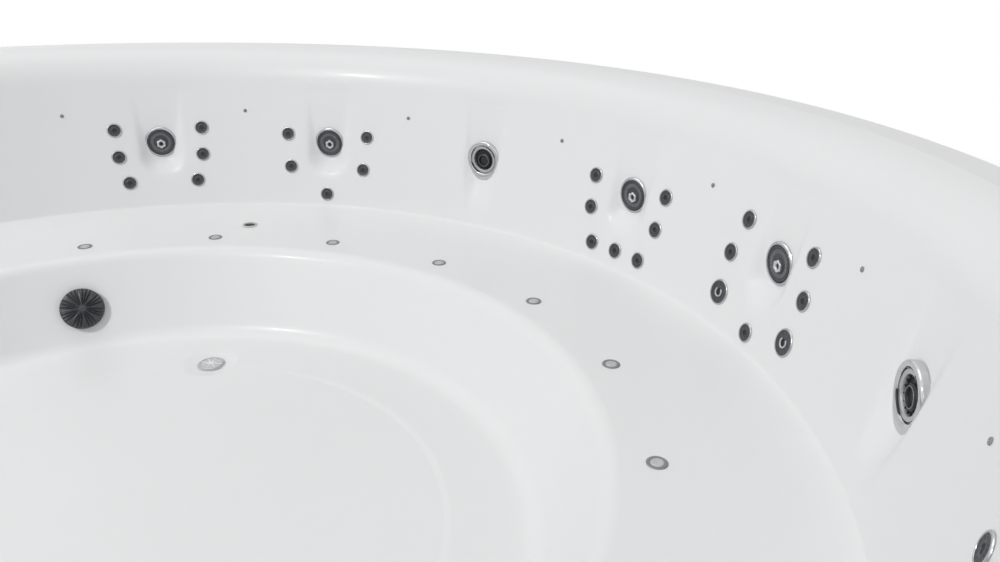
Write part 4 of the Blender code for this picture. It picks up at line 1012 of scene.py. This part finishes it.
@dataclass
class Fittings:
    """The lamps, injectors, suction covers, drain and warm water return."""

    bezel: float = 0.0064
    injector: float = 0.0225
    cover: float = 0.0640
    suction: float = 0.0245
    cable: float = 0.004
    cable_depth: float = 0.060
    injectors: int = 18
    injector_radius: float = 1.176
    first_injector: float = TUB.entry - math.radians(11.7)

    def build_lamps(self) -> None:
        """Make the wall lamps and their cable."""
        shapes = []
        for number in range(TUB.stations):
            place = Matrix.Rotation(TUB.turn(number + 0.5), 4, "Z") @ wall_frame(0.0, 0.0)
            shapes.append(Shop.spun([
                (0.0, 0.0026), (self.bezel * 0.55, 0.0024, 0.001, 2), (self.bezel * 0.62, 0.0014),
                (self.bezel * 0.70, 0.0028, 0.0004, 2), (self.bezel, 0.0016, 0.0006, 2),
                (self.bezel, 0.0003), (0.005, 0.0003), (0.005, -0.030), (0.0, -0.030)], 24, place))
            shapes.append(Shop.pipe([place @ Vector((0, 0, -depth))
                                     for depth in (0.029, self.cable_depth)], 0.0035, 8))
        tail = wall_frame(0.0, 0.0) @ Vector((0, 0, -self.cable_depth))
        ring = [around(tail.x, TUB.turn(0.5 + k / 8), tail.z) for k in range(TUB.stations * 8)]
        shapes.append(Shop.pipe(ring, self.cable, 8, closed=True))
        Shop.finish(Shop.join(shapes), "wall_lamps", LENS, "lamp", replaces=["lamp_ring"])

    def build_injectors(self) -> None:
        """Make the air injectors and their pipe."""
        caps = []
        for number in range(self.injectors):
            angle = self.first_injector - number * 2 * math.pi / self.injectors
            place = Matrix.Translation(around(self.injector_radius, angle, TUB.seat))
            caps.append(Shop.spun([
                (0.0, 0.0030), (self.injector * 0.56, 0.0028, 0.0006, 2),
                (self.injector * 0.64, 0.0014), (self.injector * 0.64, 0.0004), (0.0, 0.0004)],
                36, place))
            caps.append(Shop.spun([
                (self.injector, 0.0003), (self.injector, 0.0014, 0.0006, 2),
                (self.injector * 0.92, 0.0028, 0.0006, 2),
                (self.injector * 0.74, 0.0026, 0.0005, 2), (self.injector * 0.66, 0.0012),
                (0.0115, 0.0003), (0.0115, -0.040), (0.0070, -0.040)], 36, place, material=1))
        Shop.finish(Shop.join(caps), "air_injector_caps", [SILVER, CAP_RIM], "injector",
                    replaces=["air_ring"])
        height = TUB.seat - 0.045
        ring = [around(self.injector_radius, 2 * math.pi * k / 144, height) for k in range(144)]
        bend, blower = TUB.blower_turn, TUB.blower_radius
        drop = [around(self.injector_radius, bend, height), around(blower - 0.060, bend, height),
                around(blower - 0.015, bend, height - 0.012), around(blower, bend, height - 0.050),
                around(blower, bend, 0.230 + TUB.gap)]
        pipes = [Shop.pipe(ring, 0.0155, 16, closed=True), Shop.pipe(drop, 0.0195, 16)]
        Shop.finish(Shop.join(pipes), "air_pipe", PIPE, "pipe", replaces=["air_ring"])

    def build_suction(self) -> None:
        """Make the two suction covers, with ribs and slots, and the pipe to the pump."""
        seat = -0.0004
        for name, angle in (("suction_cover_front", SUCTION_TURN),
                            ("suction_cover_rear", SUCTION_TURN + math.pi)):
            dome = Shop.spun([
                (0.0, seat + 0.0315), (0.010, seat + 0.0314), (0.024, seat + 0.0304),
                (0.038, seat + 0.0282), (0.050, seat + 0.0250), (0.059, seat + 0.0215),
                (self.cover, seat + 0.0190, 0.002, 2), (self.cover, seat + 0.0150, 0.001, 2),
                (0.0570, seat + 0.0140), (0.0570, seat), (0.0, seat)], 192)
            for vertex in dome.verts:
                reach = vertex.co.xy.length
                if 0.012 < reach < self.cover - 0.003 and vertex.co.z > seat + 0.020:
                    spoke = math.atan2(vertex.co.y, vertex.co.x)
                    groove = 0.5 + 0.5 * math.cos(spoke * 32)
                    sector = smooth((abs(math.sin(spoke * 4)) - 0.10) / 0.12)
                    vertex.co.z -= 0.0045 * groove * sector
            hub = Shop.spun([
                (0.0, seat + 0.0320), (0.006, seat + 0.0319, 0.001, 2),
                (0.0115, seat + 0.0308, 0.001, 2), (0.0115, seat + 0.024), (0.0, seat + 0.024)], 32)
            whole = Shop.move(Shop.join([dome, hub]), riser_frame(angle))
            Shop.finish(whole, f"{name}_grille", DARK, "dark_plastic", replaces=[name])
        self.build_suction_pipe()

    def build_suction_pipe(self) -> None:
        """Make the suction fittings and the pipe that joins them to the pump."""
        parts = []
        for angle in (SUCTION_TURN, SUCTION_TURN + math.pi):
            parts.append(Shop.spun([
                (0.0, -0.0008), (0.0555, -0.0008), (0.0555, -0.0066), (0.034, -0.0066),
                (0.034, -0.107, 0.003, 2), (0.0, -0.107)], 40, riser_frame(angle)))
        end = riser_frame(SUCTION_TURN) @ Vector((0, 0, -0.085))
        radius, height = end.xy.length, end.z
        arc = [around(radius, SUCTION_TURN + math.pi * k / 72, height) for k in range(73)]
        parts.append(Shop.pipe(arc, self.suction, 16))
        bend = math.asin(0.3623 / radius)
        inlet = [(0.0, 0.2625, 0.150), (0.0, 0.345, 0.150), (0.012, 0.3600, 0.1505),
                 (0.030, 0.3623, 0.152)]
        parts.append(Shop.pipe([Vector((TUB.equipment - back, y, z)) for back, y, z in inlet]
                               + [around(radius, bend, height)], self.suction, 16))
        Shop.finish(Shop.join(parts), "suction_run", PIPE, "pipe", replaces=["suction_pipe"])

    def build_drain(self) -> None:
        """Make the drain's cover, its pipe with the valve, and the valve's handle."""
        place = Matrix.Translation(around(DRAIN_RADIUS, DRAIN_TURN, TUB.floor))
        base = -0.0029
        plate = Shop.spun([
            (0.0, base + 0.0016), (0.0312, base + 0.0016), (0.0312, base), (0.016, base),
            (0.016, base - 0.012), (0.0, base - 0.012)], 64, place, material=1)
        hub = Shop.spun([
            (0.0, base + 0.0032), (0.0080, base + 0.0031, 0.0005, 2), (0.0090, base + 0.0012),
            (0.0, base + 0.0012)], 32, place)
        spokes = [Shop.block((0.007, -0.0017, base + 0.0010), (0.0312, 0.0017, base + 0.0030),
                             0.0004, place @ Matrix.Rotation(2 * math.pi * k / 8, 4, "Z"))
                  for k in range(8)]
        ring = Shop.spun([
            (0.0378, base), (0.0378, base + 0.0018, 0.0005, 2), (0.0350, base + 0.0032, 0.0005, 2),
            (0.0308, base + 0.0030, 0.0004, 2), (0.0308, base)], 64, place, material=2)
        Shop.finish(Shop.join([plate, hub, *spokes, ring]), "drain_grille", [GRILLE, VENT, SILVER],
                    "steel", replaces=["drain_cover"])
        fitting = Shop.spun([
            (0.0, -0.026), (0.0195, -0.026), (0.0195, -0.0034), (0.0415, -0.0034),
            (0.0415, -0.0052), (0.030, -0.0052), (0.030, -0.090), (0.0, -0.090)], 40, place)
        elbow = around(DRAIN_RADIUS, DRAIN_TURN, 0.062)
        out = around(1.680, DRAIN_TURN, 0.062)
        cap = around(1.650, DRAIN_TURN, 0.062)
        valve = Matrix.Translation(around(1.570, DRAIN_TURN))
        body = Shop.spun([
            (0.0, 0.128), (0.0078, 0.128), (0.0078, 0.112), (0.018, 0.112, 0.002, 2),
            (0.020, 0.098), (0.033, 0.094, 0.003, 3), (0.033, 0.030, 0.003, 3), (0.0, 0.030)],
            32, valve)
        Shop.finish(Shop.join([fitting, Shop.pipe([elbow, out], 0.0235, 20),
                               Shop.pipe([cap, out], 0.0238, 20), body]),
                    "drain_run", PIPE, "pipe", replaces=["drain_pipe"])
        spot = (valve @ Matrix.Translation((0, 0, 0.1123))
                @ Matrix.Rotation(DRAIN_TURN + math.pi, 4, "Z"))
        hub = Shop.spun([
            (0.0093, 0.0), (0.016, 0.0, 0.001, 2), (0.016, 0.008, 0.001, 2), (0.0093, 0.008)],
            32, spot)
        lever = Shop.block((0.013, -0.0095, 0.0005), (0.109, 0.0095, 0.0072), 0.0025, spot)
        Shop.finish(Shop.join([hub, lever]), "drain_lever", RED, "handle", body="drain_handle",
                    replaces=["drain_handle"])

    def build_return(self) -> None:
        """Make the warm water return in the seat and its pipe from the heater."""
        place = Matrix.Translation(around(RETURN_RADIUS, RETURN_TURN, TUB.seat))
        ring = Shop.spun([
            (0.027, -0.0036), (0.027, 0.0006, 0.0008, 2), (0.0235, 0.0016, 0.0008, 2),
            (0.0205, 0.0004, 0.0006, 2), (0.0190, -0.0060), (0.0190, -0.0110)], 40, place)
        throat = Shop.spun([
            (0.0, -0.0030), (0.0192, -0.0030), (0.0192, -0.030), (0.0, -0.030)],
            32, place, material=1)
        fitting = Shop.spun([
            (0.0, -0.031), (0.0190, -0.031), (0.0190, -0.160), (0.0, -0.160)], 32, place)
        heater = Equipment().heater_frame()
        start = TUB.heater_turn - math.atan(0.1503 / TUB.equipment) - 4 * 0.022 / TUB.equipment
        arc = [around(RETURN_RADIUS, start + (RETURN_TURN - start) * k / 48, 0.240)
               for k in range(49)]
        path = [heater @ Vector((0, 0, -0.1503)), heater @ Vector((0, 0, -0.188)), *arc]
        Shop.finish(Shop.join([ring, throat, fitting, Shop.pipe(path, 0.0175, 16)]), "return_run",
                    [PIPE, BLACK], "pipe", replaces=["return_pipe"])

    def build(self) -> None:
        """Make every fitting."""
        self.build_lamps()
        self.build_injectors()
        self.build_suction()
        self.build_drain()
        self.build_return()


@dataclass
class Equipment:
    """The ring main, pump, heater, filter, blower, control box and keypad."""

    main: float = 0.0310
    socket: float = 0.0215
    outlet: float = 0.16275
    control_turn: float = math.radians(15)
    canister_top: float = 0.270
    button_travel: float = 0.0012
    fins: int = 36
    vents: int = 36
    vanes: int = 5

    def heater_frame(self) -> Matrix:
        """Return the heater's frame: +Z along it, towards the filter."""
        return (Matrix.Rotation(TUB.heater_turn, 4, "Z")
                @ Matrix.Translation((TUB.equipment, 0, TUB.line_height))
                @ Matrix.Rotation(math.radians(-90), 4, "X"))

    def build_main(self) -> None:
        """Make the ring main with its sockets, its inlet from the pump and the filter's branch."""
        ring = [around(TUB.ring_radius, 2 * math.pi * k / 160, TUB.ring_height) for k in range(160)]
        parts = [Shop.pipe(ring, self.main, 20, closed=True)]
        for number in range(1, len(ORDER) + 1):
            foot = around(TUB.ring_radius, TUB.turn(number), TUB.ring_height)
            rise = [foot, foot + Vector((0, 0, 0.036)), foot + Vector((0, 0, 0.0362)),
                    foot + Vector((0, 0, 0.055))]
            sizes = [0.019, 0.019, self.socket, self.socket]
            parts.append(Shop.pipe(rise, self.socket, 18, radii=lambda k, s=sizes: s[k]))
        bends = [(1.5023, 0.150), (1.530, 0.151), (1.560, 0.165),
                 (TUB.ring_radius, TUB.ring_height)]
        parts.append(Shop.pipe([Vector((x, self.outlet, z)) for x, z in bends], self.socket, 18))
        turn = TUB.filter_turn
        parts.append(Shop.pipe([around(1.4853, turn, TUB.ring_height),
                                around(TUB.ring_radius, turn, TUB.ring_height)], 0.0175, 16))
        Shop.finish(Shop.join(parts), "ring_main", PIPE, "pipe", replaces=["water_ring"])

    def build_heater(self) -> None:
        """Make the heater tube with its unions, straps and stand."""
        body = Shop.spun([
            (0.0, 0.150), (0.0215, 0.150), (0.0215, 0.118), (0.034, 0.112, 0.003, 3),
            (0.0395, 0.104, 0.003, 3), (0.0395, -0.104, 0.003, 3), (0.034, -0.112, 0.003, 3),
            (0.0215, -0.118), (0.0215, -0.150), (0.0, -0.150)], 40, self.heater_frame())
        nuts = []
        for side in (-1, 1):
            nuts.append(Shop.spun([
                (0.0, side * 0.146), (0.027, side * 0.146, 0.002, 2),
                (0.027, side * 0.122, 0.002, 2), (0.0, side * 0.122)],
                12, self.heater_frame(), material=1))
        turn = Matrix.Rotation(TUB.heater_turn, 4, "Z")
        foot = Shop.block((TUB.equipment - 0.018, -0.050, TUB.board + 0.0005),
                          (TUB.equipment + 0.018, 0.050, 0.168), 0.003, turn, material=1)
        straps = [Shop.spun([
            (0.0405, z + 0.008), (0.0405, z - 0.008), (0.038, z - 0.008), (0.038, z + 0.008)],
            40, self.heater_frame(), material=1) for z in (-0.035, 0.035)]
        Shop.finish(Shop.join([body, *nuts, foot, *straps]), "heater_tube", [STAINLESS, CHARCOAL],
                    "steel", replaces=["heater"])

    def build_filter(self) -> None:
        """Make the filter canister, with its link to the heater, and the lid with its cartridge."""
        turn = TUB.filter_turn
        place = Matrix.Translation(around(TUB.equipment, turn))
        low, top = TUB.board + TUB.gap, self.canister_top
        body = Shop.spun([
            (0.0, low + 0.015), (0.070, low + 0.015), (0.070, top), (0.0845, top, 0.002, 2),
            (0.0845, 0.250, 0.002, 2), (0.081, 0.246), (0.081, 0.040), (0.0845, 0.036),
            (0.0845, low, 0.002, 2), (0.0, low)], 48, place)
        heater = self.heater_frame()
        end = heater @ Vector((0, 0, 0.1503))
        bend = heater @ Vector((0, 0, 0.170))
        inside = around(TUB.equipment, turn, TUB.line_height)
        wall = inside + (bend - inside).normalized() * 0.0775
        link = Shop.pipe([end, bend, wall], 0.0175, 16)
        Shop.finish(Shop.join([body, link]), "filter_housing", CHARCOAL, "equipment",
                    replaces=["filter_canister"])
        base = top + TUB.gap
        lid = Shop.spun([
            (0.0, base + 0.022), (0.080, base + 0.022, 0.004, 3), (0.0935, base + 0.016, 0.003, 3),
            (0.0935, base), (0.0676, base), (0.0676, base - 0.022), (0.055, base - 0.022),
            (0.055, 0.0455), (0.0, 0.0455)], 96, place)
        for vertex in lid.verts:
            if vertex.co.z < base - 0.020 and (vertex.co - place.translation).xy.length > 0.05:
                centre = place.translation
                spoke = math.atan2(vertex.co.y - centre.y, vertex.co.x - centre.x)
                reach = 0.055 - 0.003 * (0.5 + 0.5 * math.cos(spoke * 32))
                vertex.co.x = centre.x + reach * math.cos(spoke)
                vertex.co.y = centre.y + reach * math.sin(spoke)
        grip = Shop.block((-0.0645, -0.0085, base + 0.012), (0.0645, 0.0085, base + 0.0415), 0.004,
                          place)
        Shop.finish(Shop.join([lid, grip]), "filter_lid_knob", DARK, "dark_plastic",
                    body="filter_lid", replaces=["filter_lid"])

    def build_blower(self) -> None:
        """Make the air blower, with its vents."""
        place = Matrix.Translation(around(TUB.blower_radius, TUB.blower_turn))
        low = TUB.board + TUB.gap
        body = Shop.spun([
            (0.0, 0.230), (0.0195, 0.230), (0.0195, 0.208, 0.002, 2), (0.066, 0.188, 0.008, 4),
            (0.0845, 0.166, 0.008, 4), (0.0845, 0.100), (0.082, 0.098), (0.082, 0.094),
            (0.0845, 0.092), (0.0845, low, 0.003, 2), (0.0, low)], 96, place)
        vents = [Shop.block((0.0805, -0.0022, 0.034), (0.0846, 0.0022, 0.084), 0.0008,
                            place @ Matrix.Rotation(2 * math.pi * k / self.vents, 4, "Z"))
                 for k in range(self.vents)]
        Shop.finish(Shop.join([body, *vents]), "blower_housing", CHARCOAL, "equipment",
                    replaces=["air_blower"])

    def build_pump(self) -> None:
        """Make the pump's volute and finned motor, and the impeller."""
        along = Matrix.Translation((TUB.equipment, 0, TUB.pump_height)) @ Matrix.Rotation(
            math.radians(-90), 4, "X")
        volute = Shop.spun([
            (0.0278, 0.262), (0.0355, 0.262, 0.001, 2), (0.0355, 0.246), (0.033, 0.244),
            (0.033, 0.214, 0.004, 3), (0.075, 0.2045, 0.006, 3), (0.0975, 0.190, 0.008, 4),
            (0.0975, 0.134, 0.008, 4), (0.083, 0.118, 0.003, 2), (0.083, 0.108), (0.0115, 0.108),
            (0.0115, 0.1325), (0.086, 0.1325), (0.086, 0.193), (0.0278, 0.193)], 64, along)
        motor = Shop.spun([
            (0.0, 0.107), (0.074, 0.107), (0.074, 0.090), (0.074, -0.085),
            (0.078, -0.087, 0.002, 2), (0.078, -0.112, 0.008, 4), (0.055, -0.1195, 0.003, 2),
            (0.0, -0.1195)], 64, along, material=1)
        fins = [Shop.block((0.072, -0.0015, -0.080), (0.0795, 0.0015, 0.100), 0.0006,
                           along @ Matrix.Rotation(2 * math.pi * (k + 0.5) / self.fins, 4, "Z"),
                           material=1) for k in range(self.fins)]
        outlet = Shop.pipe([Vector((TUB.equipment + reach, self.outlet, TUB.pump_height))
                            for reach in (0.090, 0.1015)], 0.0355, 32)
        foot = Shop.block((TUB.equipment - 0.058, -0.098, TUB.board + 0.0005),
                          (TUB.equipment + 0.058, 0.048, 0.085), 0.004, material=1)
        plate = Shop.block((TUB.equipment - 0.0595, -0.0995, TUB.board + 0.0004),
                           (TUB.equipment + 0.0595, 0.0495, 0.030), 0.002, material=1)
        Shop.finish(Shop.join([volute, motor, *fins, outlet, foot, plate]), "pump_housing",
                    [CHARCOAL, MOTOR], "equipment", replaces=["jet_pump"])
        back = 0.1365
        disc = Shop.spun([
            (0.0, back + 0.020), (0.014, back + 0.019, 0.002, 2), (0.0175, back + 0.008, 0.001, 2),
            (0.0695, back + 0.006, 0.001, 2), (0.0695, back), (0.0098, back), (0.0098, 0.0403),
            (0.0, 0.0403)], 48, along)
        vanes = []
        for number in range(self.vanes):
            start = 2 * math.pi * number / self.vanes
            path = [around(0.016 + 0.0095 * k, start + 0.10 * k, back + 0.0105) for k in range(6)]
            vanes.append(Shop.move(Shop.pipe(path, 0.0028, 8), along))
        Shop.finish(Shop.join([disc, *vanes]), "impeller_wheel", DARK, "dark_plastic",
                    body="pump_impeller", replaces=["pump_impeller"])

    def build_controls(self) -> None:
        """Make the control box, with its lid and screws."""
        turn = Matrix.Rotation(self.control_turn, 4, "Z")
        outer = TUB.panel_inner - TUB.gap - TUB.post - TUB.gap
        inner = outer - 0.070
        body = Shop.block((inner + 0.018, -0.1195, 0.3105), (outer, 0.1195, 0.5295), 0.006, turn)
        lid = Shop.block((inner + 0.0005, -0.1155, 0.3145), (inner + 0.022, 0.1155, 0.5255), 0.005,
                         turn)
        head = Matrix.Rotation(math.radians(-90), 4, "Y")
        screws = [Shop.spun([(0.0, 0.0022), (0.0050, 0.0018), (0.0055, 0.0), (0.0, 0.0)], 16,
                            turn @ Matrix.Translation((inner + 0.0015, y, z)) @ head, material=1)
                  for y in (-0.104, 0.104) for z in (0.326, 0.514)]
        Shop.finish(Shop.join([body, lid, *screws]), "control_housing", [CHARCOAL, STAINLESS],
                    "equipment", replaces=["control_box"])

    def build_keypad(self) -> None:
        """Make the keypad on the rim and its buttons."""
        base = TUB.band + TUB.gap
        top = base + 0.0028
        radius = TUB.rim_radius - 0.046
        body = Shop.block((radius - 0.013, -0.060, base - 0.018),
                          (radius + 0.013, 0.060, base + 0.001), 0.002)
        plate = Shop.block((radius - 0.0298, -0.0798, base),
                           (radius + 0.0298, 0.0798, top - 0.0002), 0.0009)
        screen = Shop.block((radius + 0.012, -0.050, top - 0.0006), (radius + 0.024, 0.050, top),
                            0.0002, material=1)
        places = [Vector((radius, (k - 1) * 0.036, 0)) for k in range(3)]
        rings = [Shop.spun([
            (0.0112, top - 0.0004), (0.0112, top + 0.0006, 0.0003, 2),
            (0.0094, top + 0.0006, 0.0003, 2), (0.0094, top - 0.0004)],
            32, Matrix.Translation(place), material=2) for place in places]
        Shop.finish(Shop.join([body, plate, screen, *rings]), "keypad_plate",
                    [DARK, BLACK, STAINLESS], "dark_plastic", replaces=["keypad"])
        for number, place in enumerate(places, 1):
            low = top - 0.006 + TUB.gap + self.button_travel
            high = top + 0.0014
            cap = Shop.spun([
                (0.0, high - 0.0004), (0.0050, high - 0.0003), (0.0078, high, 0.0004, 3),
                (0.0083, high - 0.0010, 0.0004, 2), (0.0083, low), (0.0, low)],
                32, Matrix.Translation(place))
            Shop.finish(cap, f"keypad_cap_{number}", STAINLESS, "steel",
                        body=f"keypad_button_{number}", replaces=[f"keypad_button_{number}"])

    def build(self) -> None:
        """Make all the equipment."""
        self.build_main()
        self.build_heater()
        self.build_filter()
        self.build_blower()
        self.build_pump()
        self.build_controls()
        self.build_keypad()


@dataclass
class Cabinet:
    """The base, the timber frame, the door and the panels."""

    panels: int = 6
    joint: float = 0.003
    planks: int = 8
    posts: int = 12

    def build_base(self) -> None:
        """Make the base board with its plinth under the footwell."""
        top = TUB.floor - TUB.skin - TUB.gap
        build = Shop.spun([
            (0.0, top), (0.450, top, 0.004, 2), (0.450, TUB.board), (1.762, TUB.board, 0.003, 3),
            (1.762, 0.0, 0.003, 3), (0.0, 0.0)], 144)
        Shop.finish(build, "base_board", BASE_BOARD, "base", replaces=["base"])

    def build_frame(self) -> None:
        """Make the ring under the rim and its posts."""
        top = TUB.band - TUB.skin - TUB.gap
        low = top - 0.036
        inner = TUB.lip_radius + 0.006 + 0.003
        parts = [Shop.spun([
            (inner + 0.021, top, 0.001, 1), (inner + 0.021, low, 0.001, 1), (inner, low, 0.001, 1),
            (inner, top, 0.001, 1)], 144)]
        outer = TUB.panel_inner - TUB.gap
        for number in range(self.posts):
            turn = Matrix.Rotation(2 * math.pi * (number + 0.5) / self.posts, 4, "Z")
            parts.append(Shop.block((outer - TUB.post + 0.0005, -0.0275, TUB.board + 0.0005),
                                    (outer - 0.0005, 0.0275, low + 0.018), 0.0015, turn))
        Shop.finish(Shop.join(parts), "timber_frame", TIMBER, "timber", replaces=["frame"])

    def panel(self, turn: float) -> bmesh.types.BMesh:
        """Return one panel of upright planks.

        Args:
            turn: the angle of its middle.

        Returns:
            The panel.
        """
        span = 2 * math.pi / self.panels
        trim = self.joint / 2 / TUB.panel_inner
        inner = TUB.panel_inner + 0.0002
        outer = TUB.panel_inner + TUB.panel
        start, end = turn - span / 2 + trim, turn + span / 2 - trim
        build = bmesh.new()
        corners = [build.verts.new((radius * math.cos(start), radius * math.sin(start), height))
                   for radius, height in rounded([
                       (inner, TUB.panel_bottom), (outer, TUB.panel_bottom, 0.003, 3),
                       (outer, TUB.panel_top, 0.003, 3), (inner, TUB.panel_top)])]
        edges = [build.edges.new((corners[k - 1], corners[k])) for k in range(len(corners))]
        bmesh.ops.spin(build, geom=corners + edges, axis=(0, 0, 1), cent=(0, 0, 0),
                       angle=end - start, steps=8 * self.planks, use_merge=False)
        bmesh.ops.holes_fill(build, edges=[edge for edge in build.edges if edge.is_boundary],
                             sides=0)
        Shop.close(build)
        return build

    def build_panels(self) -> None:
        """Make the door and the five panels."""
        for number in range(self.panels):
            node = "access_door" if number == 0 else f"cabinet_panel_{number}"
            build = self.panel(2 * math.pi * number / self.panels)
            body = "access_door" if number == 0 else "tub"
            name = "door_panel" if number == 0 else f"side_panel_{number}"
            Shop.finish(build, name, CLADDING, "panel", body=body, replaces=[node])

    def build(self) -> None:
        """Make the cabinet."""
        self.build_base()
        self.build_frame()
        self.build_panels()


@dataclass
class Studio:
    """The camera, the floor and the light."""

    eye: Vector = field(default_factory=lambda: Vector((0.2075, 1.6510, 1.3517)))
    heading: float = math.radians(217.91)
    pitch: float = -0.4017
    roll: float = 0.0208
    lens: float = 29.10
    sky: float = 0.432
    key_power: float = 232.0
    soft_power: float = 84.0
    reach: float = 7.0
    floor_radius: float = 60.0
    fade_start: float = 2.4
    fade_end: float = 6.0

    def build_camera(self) -> None:
        """Make the camera at the photograph's angle."""
        level = Vector((math.sin(self.heading), math.cos(self.heading), 0))
        forward = level * math.cos(self.pitch) + Vector((0, 0, math.sin(self.pitch)))
        right = Vector((math.cos(self.heading), -math.sin(self.heading), 0))
        up = right.cross(forward)
        side = right * math.cos(self.roll) + up * math.sin(self.roll)
        top = up * math.cos(self.roll) - right * math.sin(self.roll)
        data = bpy.data.cameras.new("camera")
        data.lens = self.lens
        data.sensor_width = 36.0
        data.clip_end = 200.0
        camera = bpy.data.objects.new("camera", data)
        turn = Matrix((side, top, -forward)).transposed().to_4x4()
        camera.matrix_world = Matrix.Translation(self.eye) @ turn
        bpy.context.scene.collection.objects.link(camera)
        bpy.context.scene.camera = camera

    @staticmethod
    def seen_white(tree: bpy.types.NodeTree) -> bpy.types.NodeSocket:
        """Add a factor that is 1 for rays from the camera, a mirror or glass.

        Args:
            tree: the node tree that it goes in.

        Returns:
            The factor's socket.
        """
        path = add_node(tree, "ShaderNodeLightPath")
        either, any_ray = (add_node(tree, "ShaderNodeMath") for _ in range(2))
        either.operation = any_ray.operation = "MAXIMUM"
        wire(tree, (path, "Is Camera Ray", either, 0), (path, "Is Glossy Ray", either, 1),
             (either, "Value", any_ray, 0), (path, "Is Transmission Ray", any_ray, 1))
        return any_ray.outputs["Value"]

    def build_world(self) -> None:
        """Make the even sky, which is seen as plain white."""
        world = bpy.data.worlds.new("studio")
        bpy.context.scene.world = world
        world.use_nodes = True
        tree = world.node_tree
        plain = tree.nodes["Background"]
        plain.inputs["Color"].default_value = (0.985, 0.99, 1.0, 1.0)
        plain.inputs["Strength"].default_value = self.sky
        white = add_node(tree, "ShaderNodeBackground", Color=(1.0, 1.0, 1.0, 1.0), Strength=1.0)
        mix = add_node(tree, "ShaderNodeMixShader")
        tree.links.new(self.seen_white(tree), mix.inputs["Fac"])
        wire(tree, (plain, "Background", mix, 1), (white, "Background", mix, 2),
             (mix, "Shader", tree.nodes["World Output"], "Surface"))

    def build_floor(self) -> None:
        """Make the pale floor, which fades to white away from the tub."""
        build = bmesh.new()
        bmesh.ops.create_circle(build, cap_ends=True, segments=96, radius=self.floor_radius)
        mesh = bpy.data.meshes.new("floor")
        build.to_mesh(mesh)
        build.free()
        floor = bpy.data.objects.new("floor", mesh)
        floor.location.z = -0.0005
        bpy.context.scene.collection.objects.link(floor)
        material = bpy.data.materials.new("pale_floor")
        material.use_nodes = True
        tree = material.node_tree
        shader = tree.nodes["Principled BSDF"]
        shader.inputs["Base Color"].default_value = (0.80, 0.80, 0.80, 1.0)
        shader.inputs["Roughness"].default_value = 0.7
        place = add_node(tree, "ShaderNodeTexCoord")
        away = add_node(tree, "ShaderNodeVectorMath")
        away.operation = "LENGTH"
        fade = add_node(tree, "ShaderNodeMapRange")
        fade.inputs["From Min"].default_value = self.fade_start
        fade.inputs["From Max"].default_value = self.fade_end
        glow = add_node(tree, "ShaderNodeEmission", Strength=1.0)
        share = add_node(tree, "ShaderNodeMath")
        share.operation = "MULTIPLY"
        mix = add_node(tree, "ShaderNodeMixShader")
        tree.links.new(self.seen_white(tree), share.inputs[1])
        wire(tree, (place, "Object", away, 0), (away, "Value", fade, "Value"),
             (fade, "Result", share, 0), (share, "Value", mix, "Fac"), (shader, "BSDF", mix, 1),
             (glow, "Emission", mix, 2), (mix, "Shader", tree.nodes["Material Output"], "Surface"))
        mesh.materials.append(material)

    def build_lights(self) -> None:
        """Make the key light from the camera's left and the soft light ahead of it."""
        middle = Vector((0, 0, 0.5))
        for name, way, size, power in (
                ("key_light", (0.69, 0.07, 0.72), 0.6, self.key_power),
                ("soft_light", (0.046, -0.372, 0.927), 5.0, self.soft_power)):
            spot = middle + Vector(way) * self.reach
            data = bpy.data.lights.new(name, "AREA")
            data.shape = "DISK"
            data.size = size
            data.energy = power
            light = bpy.data.objects.new(name, data)
            light.location = spot
            light.rotation_euler = (middle - spot).to_track_quat("-Z", "Y").to_euler()
            bpy.context.scene.collection.objects.link(light)

    def build(self) -> None:
        """Make the studio."""
        self.build_camera()
        self.build_world()
        self.build_floor()
        self.build_lights()
        bpy.context.scene.view_settings.view_transform = "Standard"


def main() -> None:
    """Build the studio and every piece of the tub."""
    logging.basicConfig(level=logging.INFO, format="%(message)s")
    Studio().build()
    Moulding().build()
    JetSet().build()
    Fittings().build()
    Equipment().build()
    Cabinet().build()
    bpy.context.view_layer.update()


if __name__ == "__main__":
    main()
